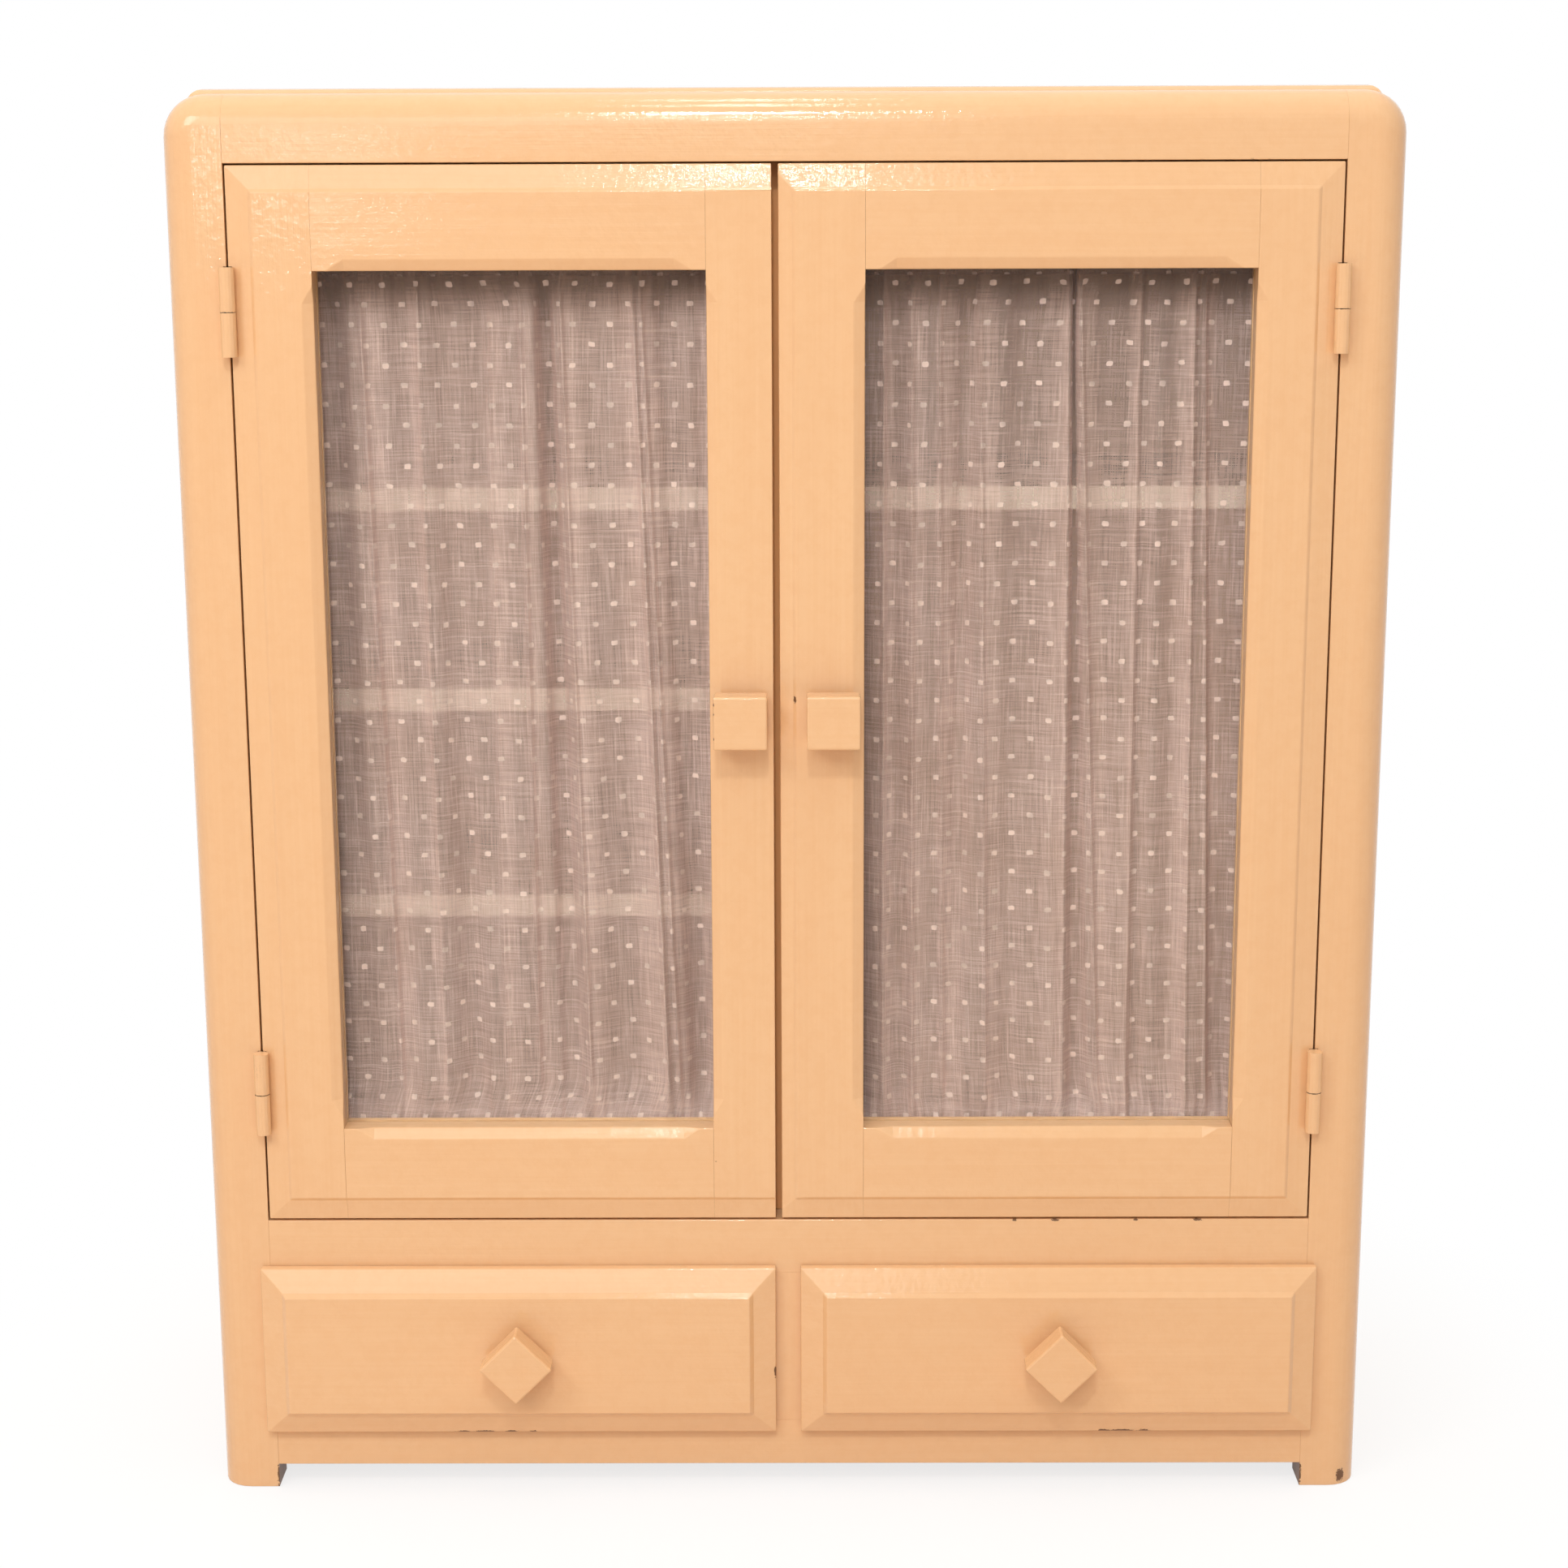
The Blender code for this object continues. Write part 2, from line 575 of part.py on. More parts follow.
def make_knob(name, x, face_depth, z, diamond, material, parent):
    """A square knob on a round neck, with a dowel that seats in the wood behind it."""
    back = face_depth - KNOB_NECK_LENGTH
    half = KNOB_SIZE / 2
    head = box(name, (x - half, x + half), (back - KNOB_THICKNESS, back), (z - half, z + half))
    bm = bmesh.new()
    bm.from_mesh(head.data)
    bmesh.ops.bevel(bm, geom=bm.edges[:], offset=KNOB_EDGE, segments=2, profile=0.5, affect="EDGES")
    if diamond:
        centre = (x, FRONT_Y + back, z)
        bmesh.ops.rotate(bm, verts=bm.verts, cent=centre, matrix=Matrix.Rotation(math.pi / 4, 3, "Y"))
    bm.to_mesh(head.data)
    bm.free()
    inside = back - KNOB_THICKNESS / 2
    neck = cylinder("neck", (x, inside, z), (x, face_depth - FIT, z), KNOB_NECK_RADIUS, KNOB_SIDES)
    combine(head, neck, "UNION")
    dowel = cylinder("dowel", (x, inside, z), (x, face_depth + KNOB_DOWEL_LENGTH, z),
                     KNOB_DOWEL_RADIUS, KNOB_SIDES)
    combine(head, dowel, "UNION")
    place(head, material, parent, math.radians(30))


def drill_for_knob(piece, x, face_depth, z):
    """The hole that a knob's dowel seats in."""
    drill(piece, (x, face_depth - OVERCUT, z), (x, face_depth + KNOB_DOWEL_LENGTH + FIT, z),
          KNOB_DOWEL_RADIUS + FIT, KNOB_SIDES)


# Raised fronts

def raised_front(name, x, z, steps):
    """A slab whose edge rises in steps of (inset, depth) from a rectangle to a raised field."""
    loops = []
    for inset, depth in steps:
        x0, x1 = widened(x, -inset)
        z0, z1 = widened(z, -inset)
        loops.append([(x0, depth, z0), (x1, depth, z0), (x1, depth, z1), (x0, depth, z1)])
    return loft(name, loops)


def chamfer_tool(lengthwise, edge, outward, span):
    """A wedge that takes a stopped chamfer off one front edge of a window.

    The edge runs along x or z (lengthwise) at the other coordinate (edge), with the wood on its
    outward side. The chamfer runs out to nothing near both ends of its span.
    """
    margin = 0.3
    nick = 0.1

    def point(along, width_share, depth_share):
        across = edge + outward * CHAMFER_WIDTH * width_share
        depth = DOOR_FIELD + CHAMFER_DEPTH * depth_share
        if lengthwise == "x":
            return (along, FRONT_Y + depth, across)
        return (across, FRONT_Y + depth, along)

    start, end = span[0] + CHAMFER_STOP, span[1] - CHAMFER_STOP
    bm = bmesh.new()
    sections = []
    for along in (start + CHAMFER_RUNOUT, end - CHAMFER_RUNOUT):
        shares = ((1 + margin, -margin), (-margin, 1 + margin), (-margin, -margin))
        sections.append([bm.verts.new(point(along, *share)) for share in shares])
    tips = [bm.verts.new(point(along, -nick, -nick)) for along in (start, end)]
    for i in range(3):
        j = (i + 1) % 3
        bm.faces.new((sections[0][i], sections[0][j], sections[1][j], sections[1][i]))
        bm.faces.new((sections[0][i], sections[0][j], tips[0]))
        bm.faces.new((sections[1][i], sections[1][j], tips[1]))
    return solid("chamfer", bm)


# Doors

class DoorPlan:
    """Limits of one door and of its window, worked out from the driving sizes."""

    def __init__(self, side):
        self.side = side
        self.name = SIDE_NAMES[side] + "_door"
        self.outer_x = side * DOOR_EDGE_X
        self.meeting_x = MEETING_CENTRE_X + side * MEETING_GAP / 2
        meeting_width = LEFT_MEETING_STILE_WIDTH if side < 0 else RIGHT_MEETING_STILE_WIDTH
        trim = LEFT_MEETING_TRIM if side < 0 else RIGHT_MEETING_TRIM
        self.untrimmed_x = self.meeting_x - side * trim
        self.window_outer = self.outer_x - side * HINGE_STILE_WIDTH
        self.window_inner = self.meeting_x + side * meeting_width
        self.bottom = DOOR_Z + DOOR_END_GAP
        self.top = TOP_RAIL_Z - DOOR_END_GAP
        self.window_bottom = self.bottom + DOOR_RAIL_HEIGHT
        self.window_top = self.top - DOOR_RAIL_HEIGHT
        self.knob_x = self.window_inner - side * DOOR_KNOB_INSET
        self.knob_z = self.bottom + DOOR_KNOB_HEIGHT

    def window_x(self):
        """Left and right edge of the window."""
        return (min(self.window_outer, self.window_inner), max(self.window_outer, self.window_inner))

    def window_z(self):
        """Bottom and top edge of the window."""
        return (self.window_bottom, self.window_top)

    def rod_heights(self):
        """Height of each curtain rod, by name."""
        return {
            "top": self.window_top + ROD_ABOVE_WINDOW,
            "bottom": self.window_bottom - ROD_ABOVE_WINDOW,
        }

    def blank(self):
        """The whole door as one raised slab, before its meeting edge is trimmed."""
        steps = (
            (0.0, DOOR_EDGE_THICKNESS),
            (0.0, 0.0),
            (DOOR_BEVEL_WIDTH, -DOOR_BEVEL_RISE),
            (DOOR_BEVEL_WIDTH + DOOR_STEP_WIDTH, DOOR_FIELD),
        )
        return raised_front("door_blank", (self.outer_x, self.untrimmed_x), (self.bottom, self.top), steps)


def door_member(door, name, x, z):
    """One board of a door's frame, cut from the raised slab and rebated for the glass."""
    member = box(door.name + name, x, (-CASE_DEPTH, CASE_DEPTH), z)
    combine(member, door.blank(), "INTERSECT")
    cut(member, widened(door.window_x(), GLASS_REBATE), (GLASS_SETBACK, CASE_DEPTH),
        widened(door.window_z(), GLASS_REBATE))
    return member


def door_tenons(door):
    """Bottom and top of the two rail tenons of a door."""
    return (
        (door.bottom + DOOR_TENON_SHOULDER, door.window_bottom - DOOR_TENON_SHOULDER),
        (door.window_top + DOOR_TENON_SHOULDER, door.top - DOOR_TENON_SHOULDER),
    )


def make_door_stiles(door, finishes, parent):
    """The two stiles of a door, with mortises, chamfers, hinge recesses, rod seats and knob hole."""
    side = door.side
    tenon_depth = widened((DOOR_TENON_INSET, DOOR_TENON_INSET + DOOR_TENON_THICKNESS), FIT)
    ends = widened((door.bottom, door.top), OVERCUT)
    edges = (("_hinge_stile", door.outer_x + side * OVERCUT, door.window_outer, side),
             ("_meeting_stile", door.meeting_x, door.window_inner, -side))
    for name, outer, window_edge, outward in edges:
        stile = door_member(door, name, (outer, window_edge), ends)
        combine(stile, chamfer_tool("z", window_edge, outward, door.window_z()), "DIFFERENCE")
        for heights in door_tenons(door):
            cut(stile, (window_edge - outward * OVERCUT, window_edge + outward * (DOOR_TENON_LENGTH + FIT)),
                tenon_depth, widened(heights, FIT))
        rod_x = window_edge + outward * ROD_OVERREACH
        for rod_z in door.rod_heights().values():
            drill(stile, (rod_x, DOOR_EDGE_THICKNESS + OVERCUT, rod_z),
                  (rod_x, DOOR_EDGE_THICKNESS - ROD_SEAT_DEPTH - FIT, rod_z), ROD_RADIUS + FIT, ROD_SIDES)
        if name == "_hinge_stile":
            cut_leaf_recess(stile, side * (DOOR_EDGE_X - LEAF_THICKNESS - FIT), side * (DOOR_EDGE_X + OVERCUT))
        else:
            drill_for_knob(stile, door.knob_x, DOOR_FIELD, door.knob_z)
        place(stile, finishes["paint"], parent)


def make_door_rails(door, finishes, parent):
    """The two rails of a door, tenoned into its stiles."""
    shoulders = widened(door.window_x(), -FIT)
    tenon_depth = (DOOR_TENON_INSET, DOOR_TENON_INSET + DOOR_TENON_THICKNESS)
    bottom_tenon, top_tenon = door_tenons(door)
    rails = (("_bottom_rail", (door.bottom - OVERCUT, door.window_bottom), door.window_bottom, -1, bottom_tenon),
             ("_top_rail", (door.window_top, door.top + OVERCUT), door.window_top, 1, top_tenon))
    for name, heights, window_edge, outward, tenon in rails:
        rail = door_member(door, name, shoulders, heights)
        combine(rail, chamfer_tool("x", window_edge, outward, door.window_x()), "DIFFERENCE")
        add_box(rail, widened(door.window_x(), DOOR_TENON_LENGTH), tenon_depth, tenon)
        place(rail, finishes["paint"], parent)


def make_glazing(door, finishes, parent):
    """The pane in its rebate, and the bead frame that holds it."""
    pane_x = widened(door.window_x(), GLASS_REBATE - FIT)
    pane_z = widened(door.window_z(), GLASS_REBATE - FIT)
    pane_back = GLASS_SETBACK + FIT + GLASS_THICKNESS
    pane = box(door.name + "_glass", pane_x, (GLASS_SETBACK + FIT, pane_back), pane_z)
    place(pane, finishes["glass"], parent)
    bead = box(door.name + "_glazing_bead", pane_x, (pane_back + FIT, DOOR_EDGE_THICKNESS), pane_z)
    cut(bead, door.window_x(), (0.0, CASE_DEPTH), door.window_z())
    place(bead, finishes["paint"], parent)


def make_rod(name, ends, z, material, parent):
    """A thin rod whose two ends bend forward into the stiles."""
    seat = DOOR_EDGE_THICKNESS - ROD_SEAT_DEPTH
    corners = ((ends[0], seat, 1.0, 0.0), (ends[0], ROD_DEPTH, 1.0, 1.0),
               (ends[1], ROD_DEPTH, -1.0, 1.0), (ends[1], seat, -1.0, 0.0))
    loops = []
    for x, depth, x_share, depth_share in corners:
        loop = []
        for step in range(ROD_SIDES):
            turn = 2 * math.pi * step / ROD_SIDES
            across = ROD_RADIUS * math.cos(turn)
            loop.append((x - across * x_share, depth + across * depth_share, z + ROD_RADIUS * math.sin(turn)))
        loops.append(loop)
    rod = loft(name, loops)
    place(rod, material, parent, math.radians(40))


def casing_path(z, direction):
    """Cloth path round a rod, from the sewn hem over the rod to the top of the hanging web."""
    reach = ROD_RADIUS + CURTAIN_EASE + CURTAIN_THICKNESS / 2
    hem = reach - CURTAIN_THICKNESS / 2
    points = [(ROD_DEPTH + hem, z - direction * CASING_DROP)]
    for degrees in (-10, 55, 125, 190):
        turn = math.radians(degrees)
        points.append((ROD_DEPTH + reach * math.cos(turn) / math.cos(math.radians(32)),
                       z + direction * reach * math.sin(turn) / math.cos(math.radians(32))))
    return points


def make_curtain(door, material, parent):
    """A gathered sheet, cased round both rods, whose main folds open between them."""
    rods = door.rod_heights()
    web_top = rods["top"] - CASING_DROP
    web_bottom = rods["bottom"] + CASING_DROP
    path = [(depth, z, 0.0) for depth, z in casing_path(rods["top"], 1)]
    for step in range(WEB_STEPS + 1):
        share = step / WEB_STEPS
        fullness = math.sin(math.pi * (0.15 + 0.7 * share))
        path.append((ROD_DEPTH - CURTAIN_THICKNESS, web_top + (web_bottom - web_top) * share, fullness))
    path += [(depth, z, 0.0) for depth, z in reversed(casing_path(rods["bottom"], -1))]

    left, right = widened(door.window_x(), CURTAIN_OVERREACH)
    columns = FOLD_COUNT * FOLD_STEPS
    rings = []
    for column in range(columns + 1):
        share = column / columns
        x = left + (right - left) * share
        fold = FOLD_DEPTH * math.sin(2 * math.pi * FOLD_COUNT * share)
        wander = FOLD_WANDER * math.sin(2 * math.pi * (FOLD_COUNT / 3 + 0.5) * share + door.side)
        front, back = [], []
        for i, (depth, z, fullness) in enumerate(path):
            before, after = path[max(i - 1, 0)], path[min(i + 1, len(path) - 1)]
            along = Vector((after[0] - before[0], after[1] - before[1])).normalized()
            across = Vector((-along.y, along.x)) * CURTAIN_THICKNESS / 2
            shift = (fold + wander) * fullness
            front.append((x, depth + shift + across.x, z + across.y))
            back.append((x, depth + shift - across.x, z - across.y))
        rings.append(front + back[::-1])
    curtain = loft(door.name + "_curtain", rings)
    place(curtain, material, parent, math.radians(60))


def make_door(side, finishes, case):
    """One complete door on its hinge axis."""
    door = DoorPlan(side)
    parent = pivot(door.name + "_axis", side * HINGE_X, HINGE_DEPTH, door.bottom, case)
    make_door_stiles(door, finishes, parent)
    make_door_rails(door, finishes, parent)
    make_glazing(door, finishes, parent)
    rod_ends = widened(door.window_x(), ROD_OVERREACH)
    for place_name, z in door.rod_heights().items():
        make_rod(f"{door.name}_curtain_{place_name}_rod", rod_ends, z, finishes["rod"], parent)
    make_curtain(door, finishes["curtain"], parent)
    make_knob(door.name + "_knob", door.knob_x, DOOR_FIELD, door.knob_z, False, finishes["paint"], parent)
    for place_name, middle in hinge_heights().items():
        make_hinge_leaf(f"{door.name}_{place_name}_hinge_leaf", side, middle, True, finishes["hinge"], parent)
        make_hinge_leaf(f"{SIDE_NAMES[side]}_{place_name}_hinge_post_leaf", side, middle, False,
                        finishes["hinge"], case)


# Drawers

def make_drawer_front(name, side, box_x, box_z, material, parent):
    """A lipped front with a raised field, grooved for the bottom and drilled for the knob."""
    x = widened((side * MUNTIN_WIDTH / 2, side * OPENING_X), DRAWER_LAP)
    z = widened((DRAWER_Z, MIDDLE_RAIL_Z), DRAWER_LAP)
    slope_top = -(DRAWER_LIP + DRAWER_BEVEL_RISE)
    steps = (
        (0.0, -FIT),
        (0.0, -DRAWER_LIP),
        (DRAWER_BEVEL_WIDTH, slope_top),
        (DRAWER_BEVEL_WIDTH + DRAWER_STEP_WIDTH, DRAWER_FIELD),
    )
    front = raised_front(name + "_front", x, z, steps)
    core_x = widened(box_x, -(DRAWER_SIDE_THICKNESS + FIT))
    add_box(front, core_x, (-DRAWER_LIP / 2, DRAWER_CORE_THICKNESS), box_z)
    bottom_z = box_z[0] + DRAWER_BOTTOM_HEIGHT
    cut(front, widened(core_x, OVERCUT), (DRAWER_CORE_THICKNESS - DRAWER_GROOVE - FIT, CASE_DEPTH),
        widened((bottom_z, bottom_z + DRAWER_BOTTOM_THICKNESS), FIT))
    knob_x, knob_z = sum(x) / 2, sum(z) / 2
    drill_for_knob(front, knob_x, DRAWER_FIELD, knob_z)
    place(front, material, parent)
    return knob_x, knob_z


def make_drawer(side, finishes, case):
    """One complete drawer on its slide."""
    name = SIDE_NAMES[side] + "_drawer"
    inner_x, outer_x = side * (MUNTIN_WIDTH / 2 + DRAWER_SIDE_GAP), side * (OPENING_X - DRAWER_SIDE_GAP)
    box_x = (min(inner_x, outer_x), max(inner_x, outer_x))
    box_z = (DRAWER_Z + FIT, MIDDLE_RAIL_Z - DRAWER_HEAD_GAP)
    parent = pivot(name + "_slide", sum(box_x) / 2, 0.0, box_z[0], case)
    knob_x, knob_z = make_drawer_front(name, side, box_x, box_z, finishes["paint"], parent)
    make_knob(name + "_knob", knob_x, DRAWER_FIELD, knob_z, True, finishes["paint"], parent)

    bottom_z = box_z[0] + DRAWER_BOTTOM_HEIGHT
    bottom_top = bottom_z + DRAWER_BOTTOM_THICKNESS
    for place_name, face, inward in (("inner", inner_x, side), ("outer", outer_x, -side)):
        board = box(f"{name}_{place_name}_side", (face, face + inward * DRAWER_SIDE_THICKNESS),
                    (0.0, DRAWER_LENGTH), box_z)
        groove = DRAWER_SIDE_THICKNESS - DRAWER_GROOVE - FIT
        cut(board, (face + inward * groove, face + inward * (DRAWER_SIDE_THICKNESS + OVERCUT)),
            (-OVERCUT, CASE_DEPTH), widened((bottom_z, bottom_top), FIT))
        place(board, finishes["raw_wood"], parent)
    clear_x = widened(box_x, -(DRAWER_SIDE_THICKNESS + FIT))
    back = box(name + "_back", clear_x, (DRAWER_LENGTH - DRAWER_BACK_THICKNESS, DRAWER_LENGTH),
               (bottom_top + FIT, box_z[1] - DRAWER_BACK_DROP))
    place(back, finishes["raw_wood"], parent)
    bottom = box(name + "_bottom", widened(box_x, -(DRAWER_SIDE_THICKNESS - DRAWER_GROOVE)),
                 (DRAWER_CORE_THICKNESS - DRAWER_GROOVE, DRAWER_LENGTH), (bottom_z, bottom_top))
    place(bottom, finishes["plywood"], parent)


def main():
    """Build the cabinet in an empty scene."""
    for leftover in list(bpy.data.objects):
        bpy.data.objects.remove(leftover)
    finishes = make_finishes()
    case = pivot("cabinet", 0.0, -FRONT_Y, 0.0)
    make_rails(finishes, case)
    make_muntin(finishes, case)
    make_top_board(finishes, case)
    make_back(finishes, case)
    make_floors(finishes, case)
    make_uprights(finishes, case)
    for side in SIDE_NAMES:
        make_post(side, finishes, case)
        make_side_panel(side, finishes, case)
        make_shelves(side, finishes, case)
        make_guide(side, finishes, case)
        make_door(side, finishes, case)
        make_drawer(side, finishes, case)


main()
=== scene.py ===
"""Looks of the painted two-door cabinet: thick brushed paint, glass, hung curtains, raw wood and wire.

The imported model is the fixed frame. Everything here is in metres in that frame, with the front
towards -Y. Depths run backwards from the front plane of the face frame.
"""

import json
import logging
import math
import random
from dataclasses import dataclass, field
from enum import Enum

import bmesh
import bpy
from mathutils import Matrix, Vector
from mathutils.bvhtree import BVHTree

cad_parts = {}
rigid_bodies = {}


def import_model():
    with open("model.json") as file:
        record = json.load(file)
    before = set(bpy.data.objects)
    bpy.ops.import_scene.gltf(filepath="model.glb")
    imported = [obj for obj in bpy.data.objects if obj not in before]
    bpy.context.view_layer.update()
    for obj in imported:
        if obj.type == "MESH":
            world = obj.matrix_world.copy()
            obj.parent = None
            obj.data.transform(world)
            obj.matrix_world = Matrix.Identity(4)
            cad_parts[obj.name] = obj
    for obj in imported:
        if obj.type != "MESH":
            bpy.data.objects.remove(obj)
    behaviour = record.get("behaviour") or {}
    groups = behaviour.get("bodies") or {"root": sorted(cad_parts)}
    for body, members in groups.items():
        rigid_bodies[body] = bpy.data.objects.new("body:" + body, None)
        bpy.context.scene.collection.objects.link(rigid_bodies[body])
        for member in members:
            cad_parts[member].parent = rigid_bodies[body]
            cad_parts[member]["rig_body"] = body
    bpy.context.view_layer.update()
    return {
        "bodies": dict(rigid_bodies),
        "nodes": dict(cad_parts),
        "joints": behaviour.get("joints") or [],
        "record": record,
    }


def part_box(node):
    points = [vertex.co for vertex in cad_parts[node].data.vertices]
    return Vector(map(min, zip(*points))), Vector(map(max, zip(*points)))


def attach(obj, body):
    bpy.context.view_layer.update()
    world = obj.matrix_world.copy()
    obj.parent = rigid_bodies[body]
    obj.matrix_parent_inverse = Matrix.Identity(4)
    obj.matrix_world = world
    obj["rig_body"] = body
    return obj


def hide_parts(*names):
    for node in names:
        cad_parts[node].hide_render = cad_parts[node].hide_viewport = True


LOG = logging.getLogger("cabinet")

FRONT_Y = -0.112
ROD_DEPTH = 0.027
ROD_RADIUS = 0.0025

Colour = tuple[float, float, float]
Socket = bpy.types.NodeSocket
Thing = bpy.types.Object


class Strokes(Enum):
    """Way that a board's brush strokes or wood grain run, as a stretch of its coordinates."""

    LEVEL = (1.0, 60.0, 60.0)
    UPRIGHT = (60.0, 60.0, 1.0)
    DEEP = (60.0, 1.0, 60.0)


class Side(Enum):
    """Left or right half of the cabinet, with its sign along X."""

    LEFT = -1
    RIGHT = 1

    @property
    def word(self) -> str:
        """The side's name as the pieces use it."""
        return self.name.lower()


# Tools for meshes


def deselect() -> None:
    """Leaves nothing selected."""
    bpy.ops.object.select_all(action="DESELECT")


def take_up(piece: Thing) -> None:
    """Selects one piece alone and makes it active.

    Args:
        piece: The object that the next operators act on.
    """
    deselect()
    piece.select_set(True)
    bpy.context.view_layer.objects.active = piece


def finish_modifiers(piece: Thing) -> None:
    """Applies every modifier of a piece, in order.

    Args:
        piece: The object whose modifiers become part of its mesh.
    """
    take_up(piece)
    for modifier in list(piece.modifiers):
        bpy.ops.object.modifier_apply(modifier=modifier.name)


def settle(piece: Thing) -> None:
    """Moves a piece's place, turn and scale into its mesh.

    Args:
        piece: The object that then sits at the origin.
    """
    take_up(piece)
    bpy.ops.object.transform_apply(location=True, rotation=True, scale=True)


def dress(piece: Thing, material: bpy.types.Material) -> None:
    """Gives a piece one material all over.

    Args:
        piece: The object to dress.
        material: Its only material.
    """
    piece.data.materials.clear()
    piece.data.materials.append(material)


def join(pieces: list[Thing], name: str) -> Thing:
    """Joins several small pieces into one named object.

    Args:
        pieces: The objects to join, each with its own mesh.
        name: Name of the joined object.

    Returns:
        The joined object.
    """
    deselect()
    for piece in pieces:
        piece.select_set(True)
    bpy.context.view_layer.objects.active = pieces[0]
    bpy.ops.object.join()
    pieces[0].name = name
    pieces[0].data.name = name
    return pieces[0]


def pick_faces(piece: Thing, low: Colour, high: Colour) -> None:
    """Selects in edit mode the faces whose middles lie in a box.

    Args:
        piece: The active object.
        low: Lowest corner of the box.
        high: Highest corner of the box.
    """
    bpy.ops.object.mode_set(mode="EDIT")
    bpy.ops.mesh.select_mode(type="FACE")
    bpy.ops.mesh.select_all(action="DESELECT")
    bpy.ops.object.mode_set(mode="OBJECT")
    for face in piece.data.polygons:
        face.select = all(low[i] <= face.center[i] <= high[i] for i in range(3))
    bpy.ops.object.mode_set(mode="EDIT")


# Tools for shaders


class Desk:
    """A node tree at work: adds nodes, and feeds sockets with other sockets or plain values."""

    def __init__(self, tree: bpy.types.NodeTree) -> None:
        """Takes the tree to work on."""
        self.tree = tree

    def add(self, kind: str, **settings: object) -> bpy.types.Node:
        """Adds a shader node.

        Args:
            kind: Node type without its ShaderNode prefix.
            settings: Properties to set on the node.

        Returns:
            The new node.
        """
        node = self.tree.nodes.new("ShaderNode" + kind)
        for name, value in settings.items():
            setattr(node, name, value)
        return node

    def feed(self, target: Socket, value: object) -> None:
        """Links a socket into a target, or sets the target's own value.

        Args:
            target: The input socket.
            value: Another socket, or a plain value.
        """
        if isinstance(value, bpy.types.NodeSocket):
            self.tree.links.new(value, target)
        else:
            target.default_value = value

    def maths(self, operation: str, first: object, second: object = 0.0, clamp: bool = False) -> Socket:
        """One Math node.

        Args:
            operation: Name of the operation.
            first: Socket or number.
            second: Socket or number.
            clamp: Whether the result is kept from 0 to 1.

        Returns:
            The result's socket.
        """
        node = self.add("Math", operation=operation, use_clamp=clamp)
        self.feed(node.inputs[0], first)
        self.feed(node.inputs[1], second)
        return node.outputs[0]

    def vector_maths(self, operation: str, first: object, second: object = (0.0, 0.0, 0.0)) -> Socket:
        """One Vector Math node.

        Args:
            operation: Name of the operation.
            first: Socket or vector.
            second: Socket or vector.

        Returns:
            The result's socket, a number for DOT_PRODUCT and LENGTH.
        """
        node = self.add("VectorMath", operation=operation)
        self.feed(node.inputs[0], first)
        if operation != "LENGTH":
            self.feed(node.inputs[1], second)
        return node.outputs["Value" if operation in ("DOT_PRODUCT", "LENGTH") else "Vector"]

    def noise(self, vector: Socket, scale: object, detail: float = 2.0, roughness: float = 0.5) -> Socket:
        """A noise value around one half.

        Args:
            vector: Coordinates.
            scale: Socket or number.
            detail: Number of finer octaves.
            roughness: Weight of the finer octaves.

        Returns:
            The noise's socket.
        """
        node = self.add("TexNoise")
        self.feed(node.inputs["Vector"], vector)
        self.feed(node.inputs["Scale"], scale)
        node.inputs["Detail"].default_value = detail
        node.inputs["Roughness"].default_value = roughness
        return node.outputs["Fac"]

    def ramp(self, value: Socket, low: object, high: object, start: float = 0.0, end: float = 1.0) -> Socket:
        """A smooth step of a value.

        Args:
            value: The value to follow.
            low: Where the step begins.
            high: Where the step ends.
            start: Result before the step.
            end: Result after it.

        Returns:
            The result's socket.
        """
        node = self.add("MapRange", interpolation_type="SMOOTHSTEP")
        for name, given in (("Value", value), ("From Min", low), ("From Max", high),
                            ("To Min", start), ("To Max", end)):
            self.feed(node.inputs[name], given)
        return node.outputs["Result"]

    def blend(self, share: object, first: object, second: object, mode: str = "MIX") -> Socket:
        """A mix of two colours.

        Args:
            share: How much of the second colour shows.
            first: Socket or colour.
            second: Socket or colour.
            mode: Blend mode.

        Returns:
            The mixed colour's socket.
        """
        node = self.add("Mix", data_type="RGBA", blend_type=mode)
        self.feed(node.inputs[0], share)
        for index, given in ((6, first), (7, second)):
            if not isinstance(given, bpy.types.NodeSocket):
                given = (*given[:3], 1.0)
            self.feed(node.inputs[index], given)
        return node.outputs[2]

    def effect(self, group: bpy.types.NodeTree, **values: object) -> bpy.types.Node:
        """Places a shared effect.

        Args:
            group: The effect's node group.
            values: Sockets or plain values for its inputs, with _ for a space.

        Returns:
            The group node.
        """
        node = self.add("Group", node_tree=group)
        for name, value in values.items():
            self.feed(node.inputs[name.replace("_", " ")], value)
        return node


